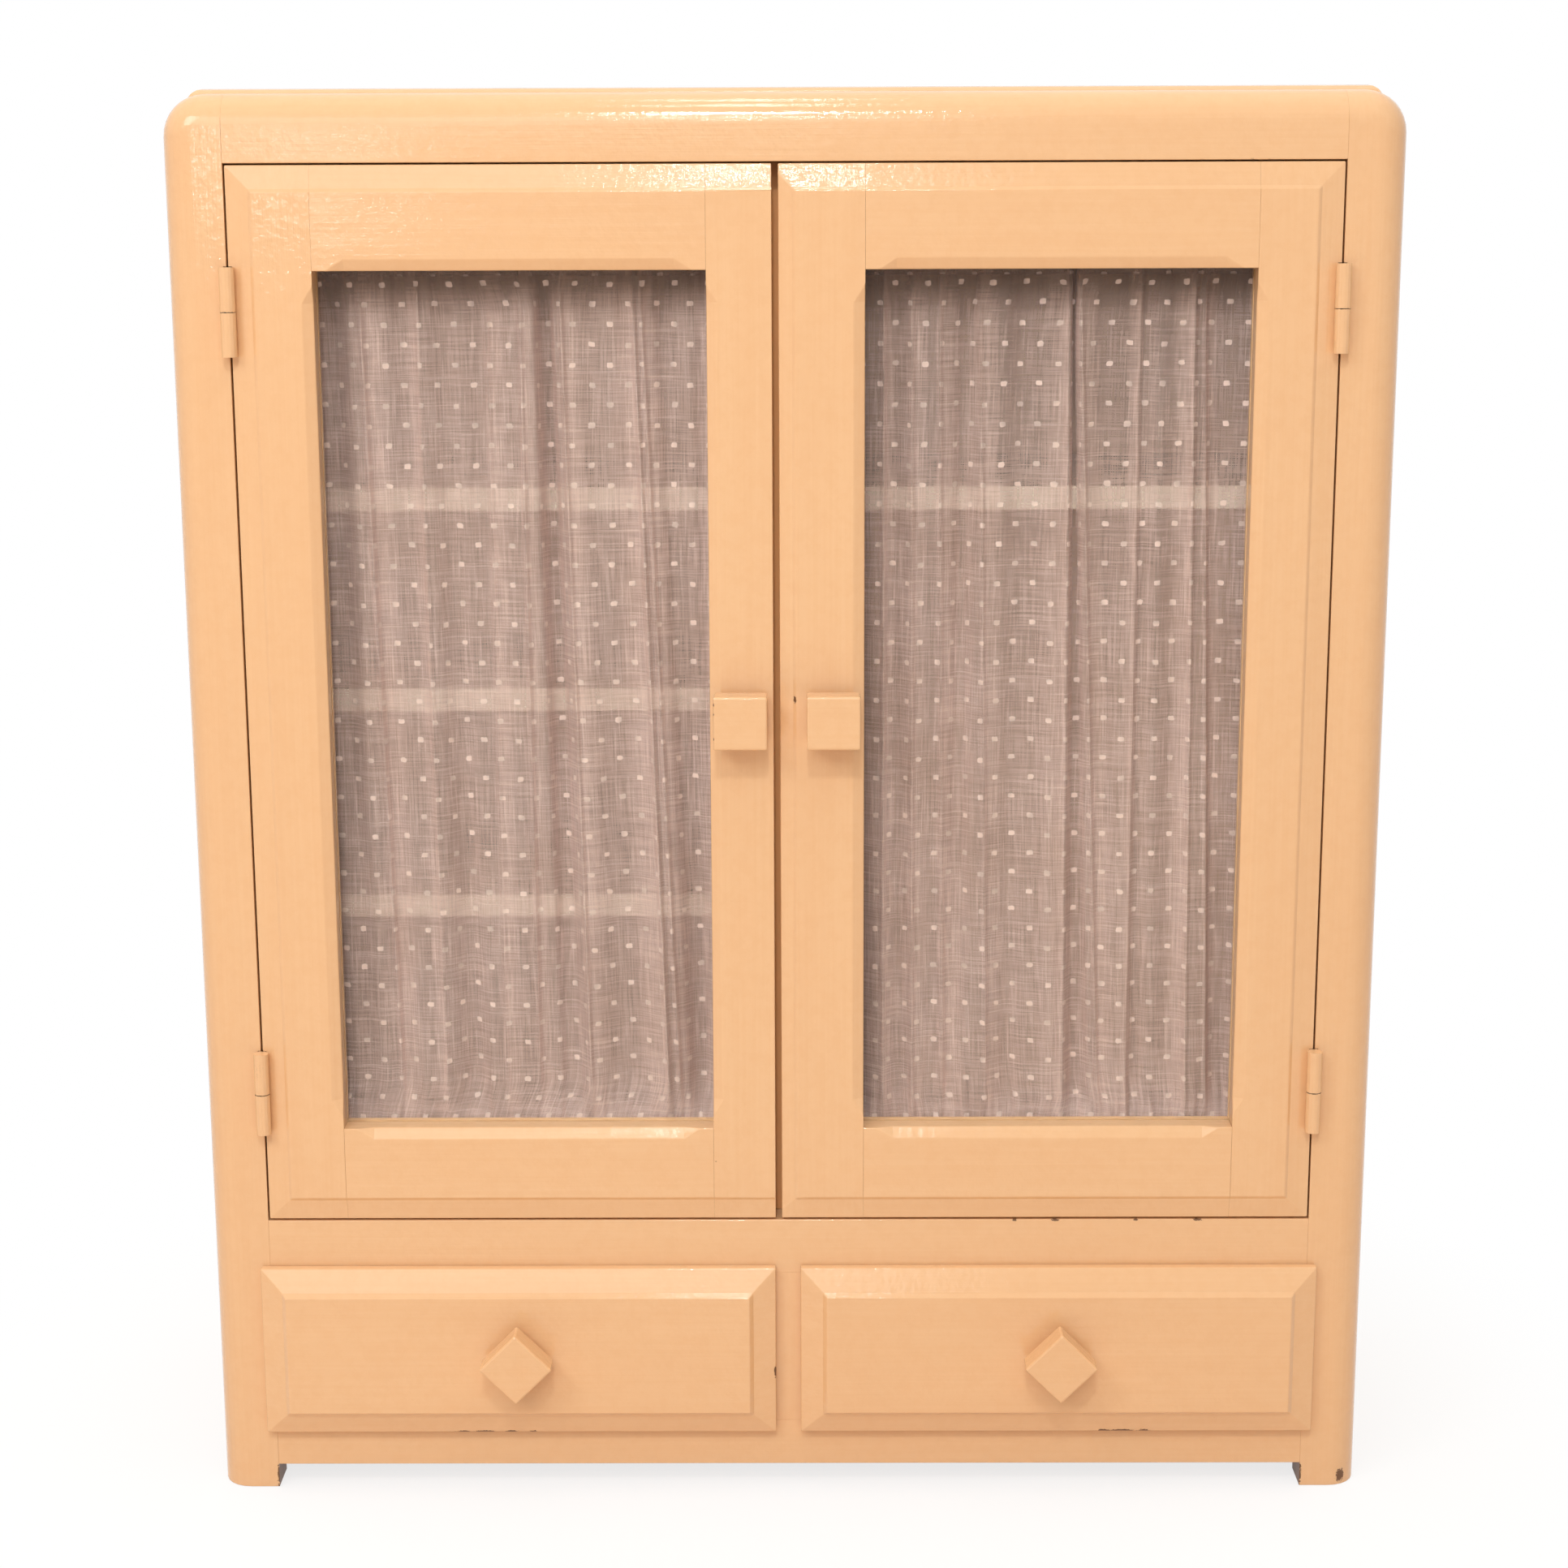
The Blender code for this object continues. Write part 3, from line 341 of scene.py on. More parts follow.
class Effects:
    """Shader groups that several finishes share. Each is built once."""

    made: dict[str, bpy.types.NodeTree] = {}

    @classmethod
    def start(cls, name: str, inputs: dict[str, object], outputs: list[str]) -> tuple:
        """Opens a new group with named sockets.

        Args:
            name: Name of the effect.
            inputs: Each input's name and default, a vector or a number.
            outputs: Names of the outputs, which are numbers.

        Returns:
            The desk, the group's inputs by name and a function that feeds an output.
        """
        tree = bpy.data.node_groups.new(name, "ShaderNodeTree")
        for label, default in inputs.items():
            kind = "NodeSocketVector" if isinstance(default, tuple) else "NodeSocketFloat"
            socket = tree.interface.new_socket(name=label, in_out="INPUT", socket_type=kind)
            socket.default_value = default
        for label in outputs:
            tree.interface.new_socket(name=label, in_out="OUTPUT", socket_type="NodeSocketFloat")
        desk = Desk(tree)
        given = tree.nodes.new("NodeGroupInput").outputs
        result = tree.nodes.new("NodeGroupOutput").inputs
        cls.made[name] = tree
        return desk, given, lambda label, value: desk.feed(result[label], value)

    @classmethod
    def brush_strokes(cls) -> bpy.types.NodeTree:
        """Streaks and swells that a brush leaves in thick paint.

        Returns:
            The group, with the stroke's stretch as its input Along.
        """
        if "brush strokes" not in cls.made:
            desk, given, put = cls.start(
                "brush strokes", {"Vector": (0.0, 0.0, 0.0), "Along": (1.0, 1.0, 1.0)},
                ["Streaks", "Swell", "Tone", "Mottle", "Height"])
            stretched = desk.vector_maths("MULTIPLY", given["Vector"], given["Along"])
            streaks = desk.noise(stretched, 7.0, 5.0, 0.62)
            swell = desk.noise(given["Vector"], 48.0, 3.0, 0.55)
            peel = desk.noise(given["Vector"], 220.0, 2.0, 0.5)
            broad = desk.noise(stretched, 1.1, 2.0, 0.5)
            tone = desk.maths("MULTIPLY", desk.noise(given["Vector"], 5.0, 3.0), 0.6)
            put("Streaks", streaks)
            put("Swell", swell)
            put("Mottle", desk.noise(given["Vector"], 115.0, 4.0, 0.68))
            put("Tone", desk.maths("ADD", tone, desk.maths("MULTIPLY", broad, 0.4)))
            rough = desk.maths("MULTIPLY", peel, 0.60)
            fine = desk.maths("ADD", desk.maths("MULTIPLY", streaks, 0.45), rough)
            put("Height", desk.maths("ADD", fine, desk.maths("MULTIPLY", swell, 0.50)))
        return cls.made["brush strokes"]

    @classmethod
    def worn_edges(cls) -> bpy.types.NodeTree:
        """Broken patches along the edges of a board.

        Returns:
            The group, whose Amount runs from 0, none, to 1, all edges bare.
        """
        if "worn edges" not in cls.made:
            desk, given, put = cls.start(
                "worn edges", {"Vector": (0.0, 0.0, 0.0), "Radius": 0.0012, "Amount": 0.2, "Scale": 120.0},
                ["Edge", "Bare"])
            rounded = desk.add("Bevel", samples=4)
            desk.feed(rounded.inputs["Radius"], given["Radius"])
            flat = desk.add("NewGeometry").outputs["Normal"]
            turn = desk.vector_maths("DOT_PRODUCT", rounded.outputs["Normal"], flat)
            edge = desk.ramp(desk.maths("SUBTRACT", 1.0, turn), 0.012, 0.10)
            patches = desk.noise(given["Vector"], given["Scale"], 4.0, 0.62)
            rare = desk.noise(given["Vector"], 17.0, 2.0)
            broken = desk.maths("MULTIPLY_ADD", rare, 0.55)
            desk.feed(broken.node.inputs[2], desk.maths("MULTIPLY", patches, 0.45))
            limit = desk.maths("MULTIPLY_ADD", given["Amount"], -0.34)
            limit.node.inputs[2].default_value = 0.70
            bare = desk.ramp(broken, limit, desk.maths("ADD", limit, 0.018))
            put("Edge", edge)
            put("Bare", desk.maths("MULTIPLY", edge, bare))
        return cls.made["worn edges"]

    @classmethod
    def specks(cls) -> bpy.types.NodeTree:
        """Scattered small spots.

        Returns:
            The group, with spots in a Share of the cells of its Scale.
        """
        if "specks" not in cls.made:
            desk, given, put = cls.start(
                "specks", {"Vector": (0.0, 0.0, 0.0), "Scale": 60.0, "Share": 0.05, "Size": 0.06}, ["Spot"])
            cells = desk.add("TexVoronoi", feature="F1")
            desk.feed(cells.inputs["Vector"], given["Vector"])
            desk.feed(cells.inputs["Scale"], given["Scale"])
            luck = desk.add("SeparateColor")
            desk.feed(luck.inputs[0], cells.outputs["Color"])
            chosen = desk.maths("LESS_THAN", luck.outputs[0], given["Share"])
            size = desk.maths("MULTIPLY", given["Size"], desk.maths("ADD", luck.outputs[1], 0.35))
            near = desk.ramp(cells.outputs["Distance"], size, desk.maths("MULTIPLY", size, 0.6))
            put("Spot", desk.maths("MULTIPLY", chosen, near))
        return cls.made["specks"]

    @classmethod
    def chip(cls) -> bpy.types.NodeTree:
        """One ragged patch at a given place.

        Returns:
            The group, with the patch's Centre and its half sizes.
        """
        if "chip" not in cls.made:
            desk, given, put = cls.start(
                "chip", {"Vector": (0.0, 0.0, 0.0), "Centre": (0.0, 0.0, 0.0),
                         "Half": (0.003, 0.003, 0.003)},
                ["Patch"])
            away = desk.vector_maths("SUBTRACT", given["Vector"], given["Centre"])
            reach = desk.vector_maths("LENGTH", desk.vector_maths("DIVIDE", away, given["Half"]))
            ragged = desk.maths("SUBTRACT", desk.noise(given["Vector"], 900.0, 2.0), 0.5)
            ragged = desk.maths("MULTIPLY", ragged, 1.6)
            put("Patch", desk.ramp(desk.maths("ADD", reach, ragged), 1.0, 0.75))
        return cls.made["chip"]

    @classmethod
    def grime(cls) -> bpy.types.NodeTree:
        """Dirt in corners and seams, together with painted shade there: darker where nearby surfaces close
        in.

        Returns:
            The group, which looks Reach metres around for a neighbouring surface.
        """
        if "grime" not in cls.made:
            desk, given, put = cls.start(
                "grime", {"Vector": (0.0, 0.0, 0.0), "Reach": 0.004}, ["Dirt"])
            corner = desk.add("AmbientOcclusion", samples=4)
            desk.feed(corner.inputs["Distance"], given["Reach"])
            open_sky = corner.outputs["AO"]
            uneven = desk.ramp(desk.noise(given["Vector"], 70.0, 3.0), 0.25, 0.7)
            # Painted shade and dirt: the closer the neighbouring surfaces, the stronger the mask.
            closed = desk.ramp(open_sky, 0.55, 0.05)
            put("Dirt", desk.maths("MULTIPLY", closed, uneven))
        return cls.made["grime"]

    @classmethod
    def wood_grain(cls) -> bpy.types.NodeTree:
        """Growth rings and pores of a sawn board.

        Returns:
            The group, with the grain's stretch as its input Along.
        """
        if "wood grain" not in cls.made:
            desk, given, put = cls.start(
                "wood grain", {"Vector": (0.0, 0.0, 0.0), "Along": (1.0, 1.0, 1.0), "Rings": 9.0},
                ["Rings", "Pores"])
            stretched = desk.vector_maths("MULTIPLY", given["Vector"], given["Along"])
            field_value = desk.noise(stretched, 0.55, 2.0, 0.45)
            rings = desk.maths("MULTIPLY", desk.maths("MULTIPLY", field_value, 6.283), given["Rings"])
            wave = desk.maths("SINE", rings)
            put("Rings", desk.ramp(wave, -1.0, 1.0))
            put("Pores", desk.ramp(desk.noise(stretched, 22.0, 3.0, 0.6), 0.56, 0.70))
        return cls.made["wood grain"]

    @classmethod
    def nail_rows(cls) -> bpy.types.NodeTree:
        """Nail heads in four rows round the edge of an upright board.

        Returns:
            The group, with the rows' Reach from the middle, their Low and High place and the nails' Pitch.
        """
        if "nail rows" not in cls.made:
            desk, given, put = cls.start(
                "nail rows", {"Vector": (0.0, 0.0, 0.0), "Reach": 0.3245, "Low": 0.0225, "High": 0.8235,
                              "Half Pitch": 0.0445, "Radius": 0.0021}, ["Nail"])
            parts = desk.add("SeparateXYZ")
            desk.feed(parts.inputs[0], given["Vector"])
            across, up = parts.outputs["X"], parts.outputs["Z"]
            beside = desk.maths("SUBTRACT", desk.maths("ABSOLUTE", across), given["Reach"])
            below = desk.maths("ABSOLUTE", desk.maths("SUBTRACT", up, given["Low"]))
            above = desk.maths("ABSOLUTE", desk.maths("SUBTRACT", up, given["High"]))
            rows = ((beside, up), (desk.maths("MINIMUM", below, above), across))
            found = []
            for away, along in rows:
                step = desk.maths("PINGPONG", along, given["Half Pitch"])
                squares = [desk.maths("MULTIPLY", value, value) for value in (away, step)]
                found.append(desk.maths("SQRT", desk.maths("ADD", squares[0], squares[1])))
            near = desk.maths("MINIMUM", found[0], found[1])
            put("Nail", desk.ramp(near, given["Radius"], desk.maths("MULTIPLY", given["Radius"], 0.75)))
        return cls.made["nail rows"]

    @classmethod
    def threads(cls) -> bpy.types.NodeTree:
        """Warp and weft of a thin woven cloth, on its flat coordinates in metres.

        Returns:
            The group, with the threads' cover, thick slubs and height.
        """
        if "threads" not in cls.made:
            desk, given, put = cls.start("threads", {"Vector": (0.0, 0.0, 0.0)},
                                         ["Cover", "Slubs", "Height"])
            runs = []
            for stretch in ((1300.0, 34.0, 1.0), (34.0, 1300.0, 1.0)):
                along = desk.vector_maths("MULTIPLY", given["Vector"], stretch)
                runs.append(desk.noise(along, 1.0, 2.0, 0.6))
            cover = desk.maths("MULTIPLY", desk.maths("ADD", runs[0], runs[1]), 0.5)
            thick = []
            for stretch in ((560.0, 22.0, 1.0), (19.0, 640.0, 1.0)):
                along = desk.vector_maths("MULTIPLY", given["Vector"], stretch)
                thick.append(desk.ramp(desk.noise(along, 1.0, 3.0, 0.55), 0.49, 0.69))
            slubs = desk.maths("MAXIMUM", thick[0], thick[1])
            put("Cover", desk.ramp(cover, 0.30, 0.70))
            put("Slubs", slubs)
            put("Height", desk.maths("ADD", cover, desk.maths("MULTIPLY", slubs, 0.5)))
        return cls.made["threads"]

    @classmethod
    def woven_dots(cls) -> bpy.types.NodeTree:
        """Staggered rows of small woven dots on flat cloth coordinates in metres.

        Returns:
            The group, with the dots' Pitch across and along and their Half sizes.
        """
        if "woven dots" not in cls.made:
            desk, given, put = cls.start(
                "woven dots", {"Vector": (0.0, 0.0, 0.0), "Pitch": (0.02, 0.02, 1.0),
                               "Half": (0.002, 0.002, 1.0)}, ["Dot"])
            wander = desk.add("TexNoise")
            desk.feed(wander.inputs["Vector"], given["Vector"])
            wander.inputs["Scale"].default_value = 60.0
            shift = desk.vector_maths("SUBTRACT", wander.outputs["Color"], (0.5, 0.5, 0.5))
            shift = desk.vector_maths("MULTIPLY", shift, (0.0028, 0.0028, 0.0))
            place = desk.vector_maths("ADD", given["Vector"], shift)
            place = desk.vector_maths("DIVIDE", place, given["Pitch"])
            size = desk.vector_maths("DIVIDE", given["Half"], given["Pitch"])
            found = []
            for start in ((0.0, 0.0, 0.0), (0.5, 0.5, 0.0)):
                cell = desk.vector_maths("FRACTION", desk.vector_maths("ADD", place, start))
                centred = desk.vector_maths("SUBTRACT", cell, (0.5, 0.5, 0.0))
                level = desk.vector_maths("DIVIDE", centred, size)
                level = desk.vector_maths("MULTIPLY", level, (1.0, 1.0, 0.0))
                squared = desk.vector_maths("LENGTH", desk.vector_maths("MULTIPLY", level, level))
                found.append(desk.maths("POWER", squared, 0.5))
            near = desk.maths("MINIMUM", found[0], found[1])
            rough = desk.maths("MULTIPLY", desk.noise(given["Vector"], 700.0, 2.0), 0.55)
            put("Dot", desk.ramp(desk.maths("ADD", near, rough), 1.42, 1.05))
        return cls.made["woven dots"]


# Finishes


def new_material(name: str) -> tuple[bpy.types.Material, Desk, bpy.types.Node, Socket]:
    """An empty node material with one Principled shader.

    Args:
        name: Name of the material.

    Returns:
        The material, a desk on its tree, its Principled node and its Object coordinates.
    """
    material = bpy.data.materials.new(name)
    material.use_nodes = True
    desk = Desk(material.node_tree)
    shader = next(n for n in material.node_tree.nodes if n.type == "BSDF_PRINCIPLED")
    place = desk.add("TexCoord").outputs["Object"]
    return material, desk, shader, place


def set_bump(desk: Desk, shader: bpy.types.Node, height: Socket, depth: float) -> None:
    """Feeds a shader's normal from a height.

    Args:
        desk: The material's desk.
        shader: The shader that gets the bump.
        height: Height from 0 to 1.
        depth: Real height of 1, in metres.
    """
    bump = desk.add("Bump")
    bump.inputs["Strength"].default_value = 1.0
    bump.inputs["Distance"].default_value = depth
    desk.feed(bump.inputs["Height"], height)
    desk.feed(shader.inputs["Normal"], bump.outputs["Normal"])


@dataclass(frozen=True)
class Chip:
    """A place where the paint has come off, with its half sizes. The patches on the inner faces of the feet
    are painted shade.
    """

    centre: Colour
    half: Colour


@dataclass(frozen=True)
class BrushedPaint:
    """Thick oil paint put on with a brush, with worn edges, a few knocks, and dirt with painted shade in its
    corners and seams.
    """

    name: str
    strokes: Strokes
    colour: Colour = (0.827, 0.532, 0.295)
    shade: Colour = (0.772, 0.445, 0.221)
    bare: Colour = (0.165, 0.075, 0.030)
    # Dark orange of dirt and of painted shade in corners and seams.
    dirt: Colour = (0.520, 0.235, 0.085)
    gloss: tuple[float, float] = (0.047, 0.097)
    wear: float = 0.05
    chips: tuple[Chip, ...] = ()
    tone_share: float = 0.30
    streak_share: float = 0.22
    mottle_share: float = 0.22
    dirt_share: float = 0.28
    dirt_reach: float = 0.0018
    relief: float = 0.00027

    def make(self) -> bpy.types.Material:
        """Builds the paint.

        Returns:
            The paint's material.
        """
        material, desk, shader, place = new_material(self.name)
        brushed = desk.effect(Effects.brush_strokes(), Vector=place, Along=self.strokes.value)
        worn = desk.effect(Effects.worn_edges(), Vector=place, Amount=self.wear)
        grime = desk.effect(Effects.grime(), Vector=place, Reach=self.dirt_reach)
        spots = desk.effect(Effects.specks(), Vector=place, Scale=46.0, Share=0.02, Size=0.03)
        colour = self.colour
        for wave, low, high, share in (("Tone", 0.30, 0.70, self.tone_share),
                                       ("Streaks", 0.30, 0.72, self.streak_share),
                                       ("Mottle", 0.40, 0.66, self.mottle_share)):
            darker = desk.maths("MULTIPLY", desk.ramp(brushed.outputs[wave], low, high), share)
            colour = desk.blend(darker, colour, self.shade)
        # Dirt and painted shade where other surfaces close in.
        dirt_and_shade_amount = desk.maths("MULTIPLY", grime.outputs["Dirt"], self.dirt_share)
        colour = desk.blend(dirt_and_shade_amount, colour, self.dirt)
        knocks = desk.maths("MULTIPLY", spots.outputs["Spot"], 0.75)
        bare = desk.maths("MAXIMUM", worn.outputs["Bare"], knocks)
        for chip in self.chips:
            patch = desk.effect(Effects.chip(), Vector=place, Centre=chip.centre, Half=chip.half)
            bare = desk.maths("MAXIMUM", bare, patch.outputs["Patch"])
        desk.feed(shader.inputs["Base Color"], desk.blend(bare, colour, self.bare))
        sheen = desk.ramp(brushed.outputs["Swell"], 0.25, 0.75, *self.gloss)
        desk.feed(shader.inputs["Roughness"], desk.maths("ADD", sheen, desk.maths("MULTIPLY", bare, 0.4)))
        height = desk.maths("SUBTRACT", brushed.outputs["Height"], desk.maths("MULTIPLY", bare, 0.9))
        set_bump(desk, shader, height, self.relief)
        return material


@dataclass(frozen=True)
class InsidePaint:
    """Flat cream paint of the inside, with dust and scuffs, painted shade in its corners, and upward faces
    darkened as bare wood in painted shade.
    """

    name: str = "inside_paint_cream"
    strokes: Strokes = Strokes.LEVEL
    colour: Colour = (0.830, 0.720, 0.610)
    shade: Colour = (0.700, 0.580, 0.470)
    # Colour of the scuffs, and of the painted shade in corners.
    scuff: Colour = (0.420, 0.300, 0.190)
    # Upward faces: bare wood darkened as painted shade.
    worn_top: Colour = (0.150, 0.088, 0.050)
    dirt_share: float = 0.5
    dirt_reach: float = 0.012
    tone_share: float = 0.35
    wear: float = 0.35
    relief: float = 0.0002

    def make(self) -> bpy.types.Material:
        """Builds the inside paint.

        Returns:
            The paint's material.
        """
        material, desk, shader, place = new_material(self.name)
        brushed = desk.effect(Effects.brush_strokes(), Vector=place, Along=self.strokes.value)
        grime = desk.effect(Effects.grime(), Vector=place, Reach=self.dirt_reach)
        worn = desk.effect(Effects.worn_edges(), Vector=place, Amount=self.wear)
        darker = desk.maths("MULTIPLY", desk.ramp(brushed.outputs["Tone"], 0.3, 0.7), self.tone_share)
        colour = desk.blend(darker, self.colour, self.shade)
        # Dirt and painted shade in corners.
        dirt_and_shade_amount = desk.maths("MULTIPLY", grime.outputs["Dirt"], self.dirt_share)
        colour = desk.blend(dirt_and_shade_amount, colour, self.scuff)
        colour = desk.blend(worn.outputs["Bare"], colour, self.scuff)
        # Painted shade: faces that look up are darkened.
        facing = desk.add("SeparateXYZ")
        desk.feed(facing.inputs[0], desk.add("NewGeometry").outputs["Normal"])
        colour = desk.blend(desk.ramp(facing.outputs["Z"], 0.55, 0.85), colour, self.worn_top)
        desk.feed(shader.inputs["Base Color"], colour)
        desk.feed(shader.inputs["Roughness"], desk.ramp(brushed.outputs["Swell"], 0.2, 0.8, 0.48, 0.66))
        set_bump(desk, shader, brushed.outputs["Height"], self.relief)
        return material


@dataclass(frozen=True)
class SawnWood:
    """Bare wood with growth rings, pores, the grey of use and dirt with painted shade in its corners."""

    name: str
    strokes: Strokes
    light: Colour = (0.560, 0.350, 0.170)
    dark: Colour = (0.330, 0.175, 0.070)
    rings: float = 9.0
    nailed: bool = False
    nail: Colour = (0.085, 0.060, 0.042)
    grey: Colour = (0.36, 0.25, 0.15)
    dirt: Colour = (0.12, 0.07, 0.035)
    grain_stretch: float = 20.0
    relief: float = 0.00012

    def make(self) -> bpy.types.Material:
        """Builds the wood.

        Returns:
            The wood's material.
        """
        material, desk, shader, place = new_material(self.name)
        along = tuple(self.grain_stretch if share > 1.0 else 1.0 for share in self.strokes.value)
        grain = desk.effect(Effects.wood_grain(), Vector=place, Along=along, Rings=self.rings)
        grime = desk.effect(Effects.grime(), Vector=place, Reach=0.010)
        tone = desk.ramp(desk.noise(place, 6.0, 3.0), 0.3, 0.7)
        colour = desk.blend(desk.maths("MULTIPLY", grain.outputs["Rings"], 0.55), self.light, self.dark)
        colour = desk.blend(desk.maths("MULTIPLY", grain.outputs["Pores"], 0.65), colour, self.dark)
        colour = desk.blend(desk.maths("MULTIPLY", tone, 0.25), colour, self.grey)
        # Dirt and painted shade where other surfaces close in.
        colour = desk.blend(desk.maths("MULTIPLY", grime.outputs["Dirt"], 0.5), colour, self.dirt)
        height = desk.maths("SUBTRACT", desk.maths("MULTIPLY", grain.outputs["Rings"], 0.4),
                            grain.outputs["Pores"])
        if self.nailed:
            nails = desk.effect(Effects.nail_rows(), Vector=place).outputs["Nail"]
            colour = desk.blend(nails, colour, self.nail)
            height = desk.maths("SUBTRACT", height, desk.maths("MULTIPLY", nails, 2.0))
        desk.feed(shader.inputs["Base Color"], colour)
        desk.feed(shader.inputs["Roughness"], desk.ramp(grain.outputs["Rings"], 0.0, 1.0, 0.62, 0.78))
        set_bump(desk, shader, height, self.relief)
        return material


@dataclass(frozen=True)
class WindowGlass:
    """Clear old pane. Rays from the lamps pass it, so what is behind it is lit."""

    name: str = "window_glass"
    tint: Colour = (0.96, 0.97, 0.95)
    let_through: Colour = (0.93, 0.94, 0.92)
    bending: float = 1.22
    wave: float = 0.0003

    def make(self) -> bpy.types.Material:
        """Builds the glass.

        Returns:
            The glass's material.
        """
        material, desk, shader, place = new_material(self.name)
        shader.inputs["Base Color"].default_value = (*self.tint, 1.0)
        shader.inputs["Roughness"].default_value = 0.0
        shader.inputs["IOR"].default_value = self.bending
        shader.inputs["Transmission Weight"].default_value = 1.0
        set_bump(desk, shader, desk.noise(place, 9.0, 1.0), self.wave)
        clear = desk.add("BsdfTransparent")
        clear.inputs["Color"].default_value = (*self.let_through, 1.0)
        mix = desk.add("MixShader")
        desk.feed(mix.inputs[0], desk.add("LightPath").outputs["Is Shadow Ray"])
        desk.feed(mix.inputs[1], shader.outputs[0])
        desk.feed(mix.inputs[2], clear.outputs[0])
        output = next(n for n in material.node_tree.nodes if n.type == "OUTPUT_MATERIAL")
        desk.feed(output.inputs["Surface"], mix.outputs[0])
        return material


@dataclass(frozen=True)
class DottedVoile:
    """Sheer cotton with woven dots. It shows denser where the folds turn it away from the front, and a
    painted shadow of the door's top rail darkens its top.
    """

    name: str = "dotted_voile"
    thread: Colour = (0.655, 0.476, 0.436)
    slub: Colour = (0.740, 0.570, 0.525)
    dot: Colour = (0.755, 0.592, 0.545)
    stain: Colour = (0.500, 0.330, 0.268)
    # Colour, reach and strength of the painted shadow of the door's top rail.
    soil: Colour = (0.200, 0.115, 0.080)
    soiled_length: float = 0.056
    cover: float = 0.33
    weave: float = 0.36
    slub_share: float = 0.50
    slub_cover: float = 0.10
    stain_share: float = 0.30
    soil_share: float = 0.80
    turn_share: float = 0.80
    pitch: tuple[float, float] = (0.0222, 0.0232)
    half_dot: tuple[float, float] = (0.0021, 0.00165)
    relief: float = 0.00012

    def make(self) -> bpy.types.Material:
        """Builds the cloth.

        Returns:
            The cloth's material, which reads the sheet's own flat coordinates.
        """
        material, desk, shader, _ = new_material(self.name)
        flat = desk.add("UVMap", uv_map="flat_cloth").outputs["UV"]
        weave = desk.effect(Effects.threads(), Vector=flat)
        dots = desk.effect(Effects.woven_dots(), Vector=flat, Pitch=(*self.pitch, 1.0),
                           Half=(*self.half_dot, 1.0))
        turned = desk.add("Attribute", attribute_name="turned_away").outputs["Fac"]
        slubs = weave.outputs["Slubs"]
        colour = desk.blend(desk.maths("MULTIPLY", slubs, self.slub_share), self.thread, self.slub)
        tone = desk.ramp(desk.noise(flat, 14.0, 3.0), 0.3, 0.7)
        colour = desk.blend(desk.maths("MULTIPLY", tone, self.stain_share), colour, self.stain)
        along = desk.add("SeparateXYZ")
        desk.feed(along.inputs[0], flat)
        # Painted shadow of the door's top rail across the top of the cloth.
        rail_shadowed = desk.ramp(along.outputs["Y"], -self.soiled_length, -0.5 * self.soiled_length,
                           0.0, self.soil_share)
        colour = desk.blend(rail_shadowed, colour, self.soil)
        colour = desk.blend(dots.outputs["Dot"], colour, self.dot)
        desk.feed(shader.inputs["Base Color"], colour)
        shader.inputs["Roughness"].default_value = 0.92
        shader.inputs["Specular IOR Level"].default_value = 0.15
        cover = desk.maths("MULTIPLY_ADD", weave.outputs["Cover"], self.weave)
        cover.node.inputs[2].default_value = self.cover
        cover = desk.maths("ADD", cover, desk.maths("MULTIPLY", slubs, self.slub_cover), clamp=True)
        facing = desk.maths("SUBTRACT", 1.0, desk.maths("MULTIPLY", turned, self.turn_share))
        layers = desk.maths("DIVIDE", 1.0, facing)
        lapped = desk.add("Attribute", attribute_name="lapped").outputs["Fac"]
        layers = desk.maths("ADD", layers, lapped)
        open_share = desk.maths("POWER", desk.maths("SUBTRACT", 1.0, cover), layers)
        shut = desk.maths("SUBTRACT", 1.0, open_share)
        worn_dot = desk.ramp(desk.noise(flat, 90.0, 1.0), 0.32, 0.62, 0.66, 0.94)
        shut = desk.maths("MAXIMUM", shut, desk.maths("MULTIPLY", dots.outputs["Dot"], worn_dot))
        desk.feed(shader.inputs["Alpha"], shut)
        height = desk.maths("ADD", weave.outputs["Height"], desk.maths("MULTIPLY", dots.outputs["Dot"], 1.5))
        set_bump(desk, shader, height, self.relief)
        return material


@dataclass(frozen=True)
class DrawnWire:
    """Plain metal wire or screw head, dulled by handling."""

    name: str
    colour: Colour
    stain: Colour
    gloss: tuple[float, float] = (0.34, 0.59)
    relief: float = 0.00004

    def make(self) -> bpy.types.Material:
        """Builds the metal.

        Returns:
            The metal's material.
        """
        material, desk, shader, place = new_material(self.name)
        tarnish = desk.ramp(desk.noise(place, 130.0, 4.0, 0.6), 0.42, 0.68)
        desk.feed(shader.inputs["Base Color"], desk.blend(tarnish, self.colour, self.stain))
        shader.inputs["Metallic"].default_value = 1.0
        desk.feed(shader.inputs["Roughness"], desk.ramp(tarnish, 0.0, 1.0, *self.gloss))
        set_bump(desk, shader, desk.noise(place, 900.0, 2.0), self.relief)
        return material


# Boards with paint-softened edges


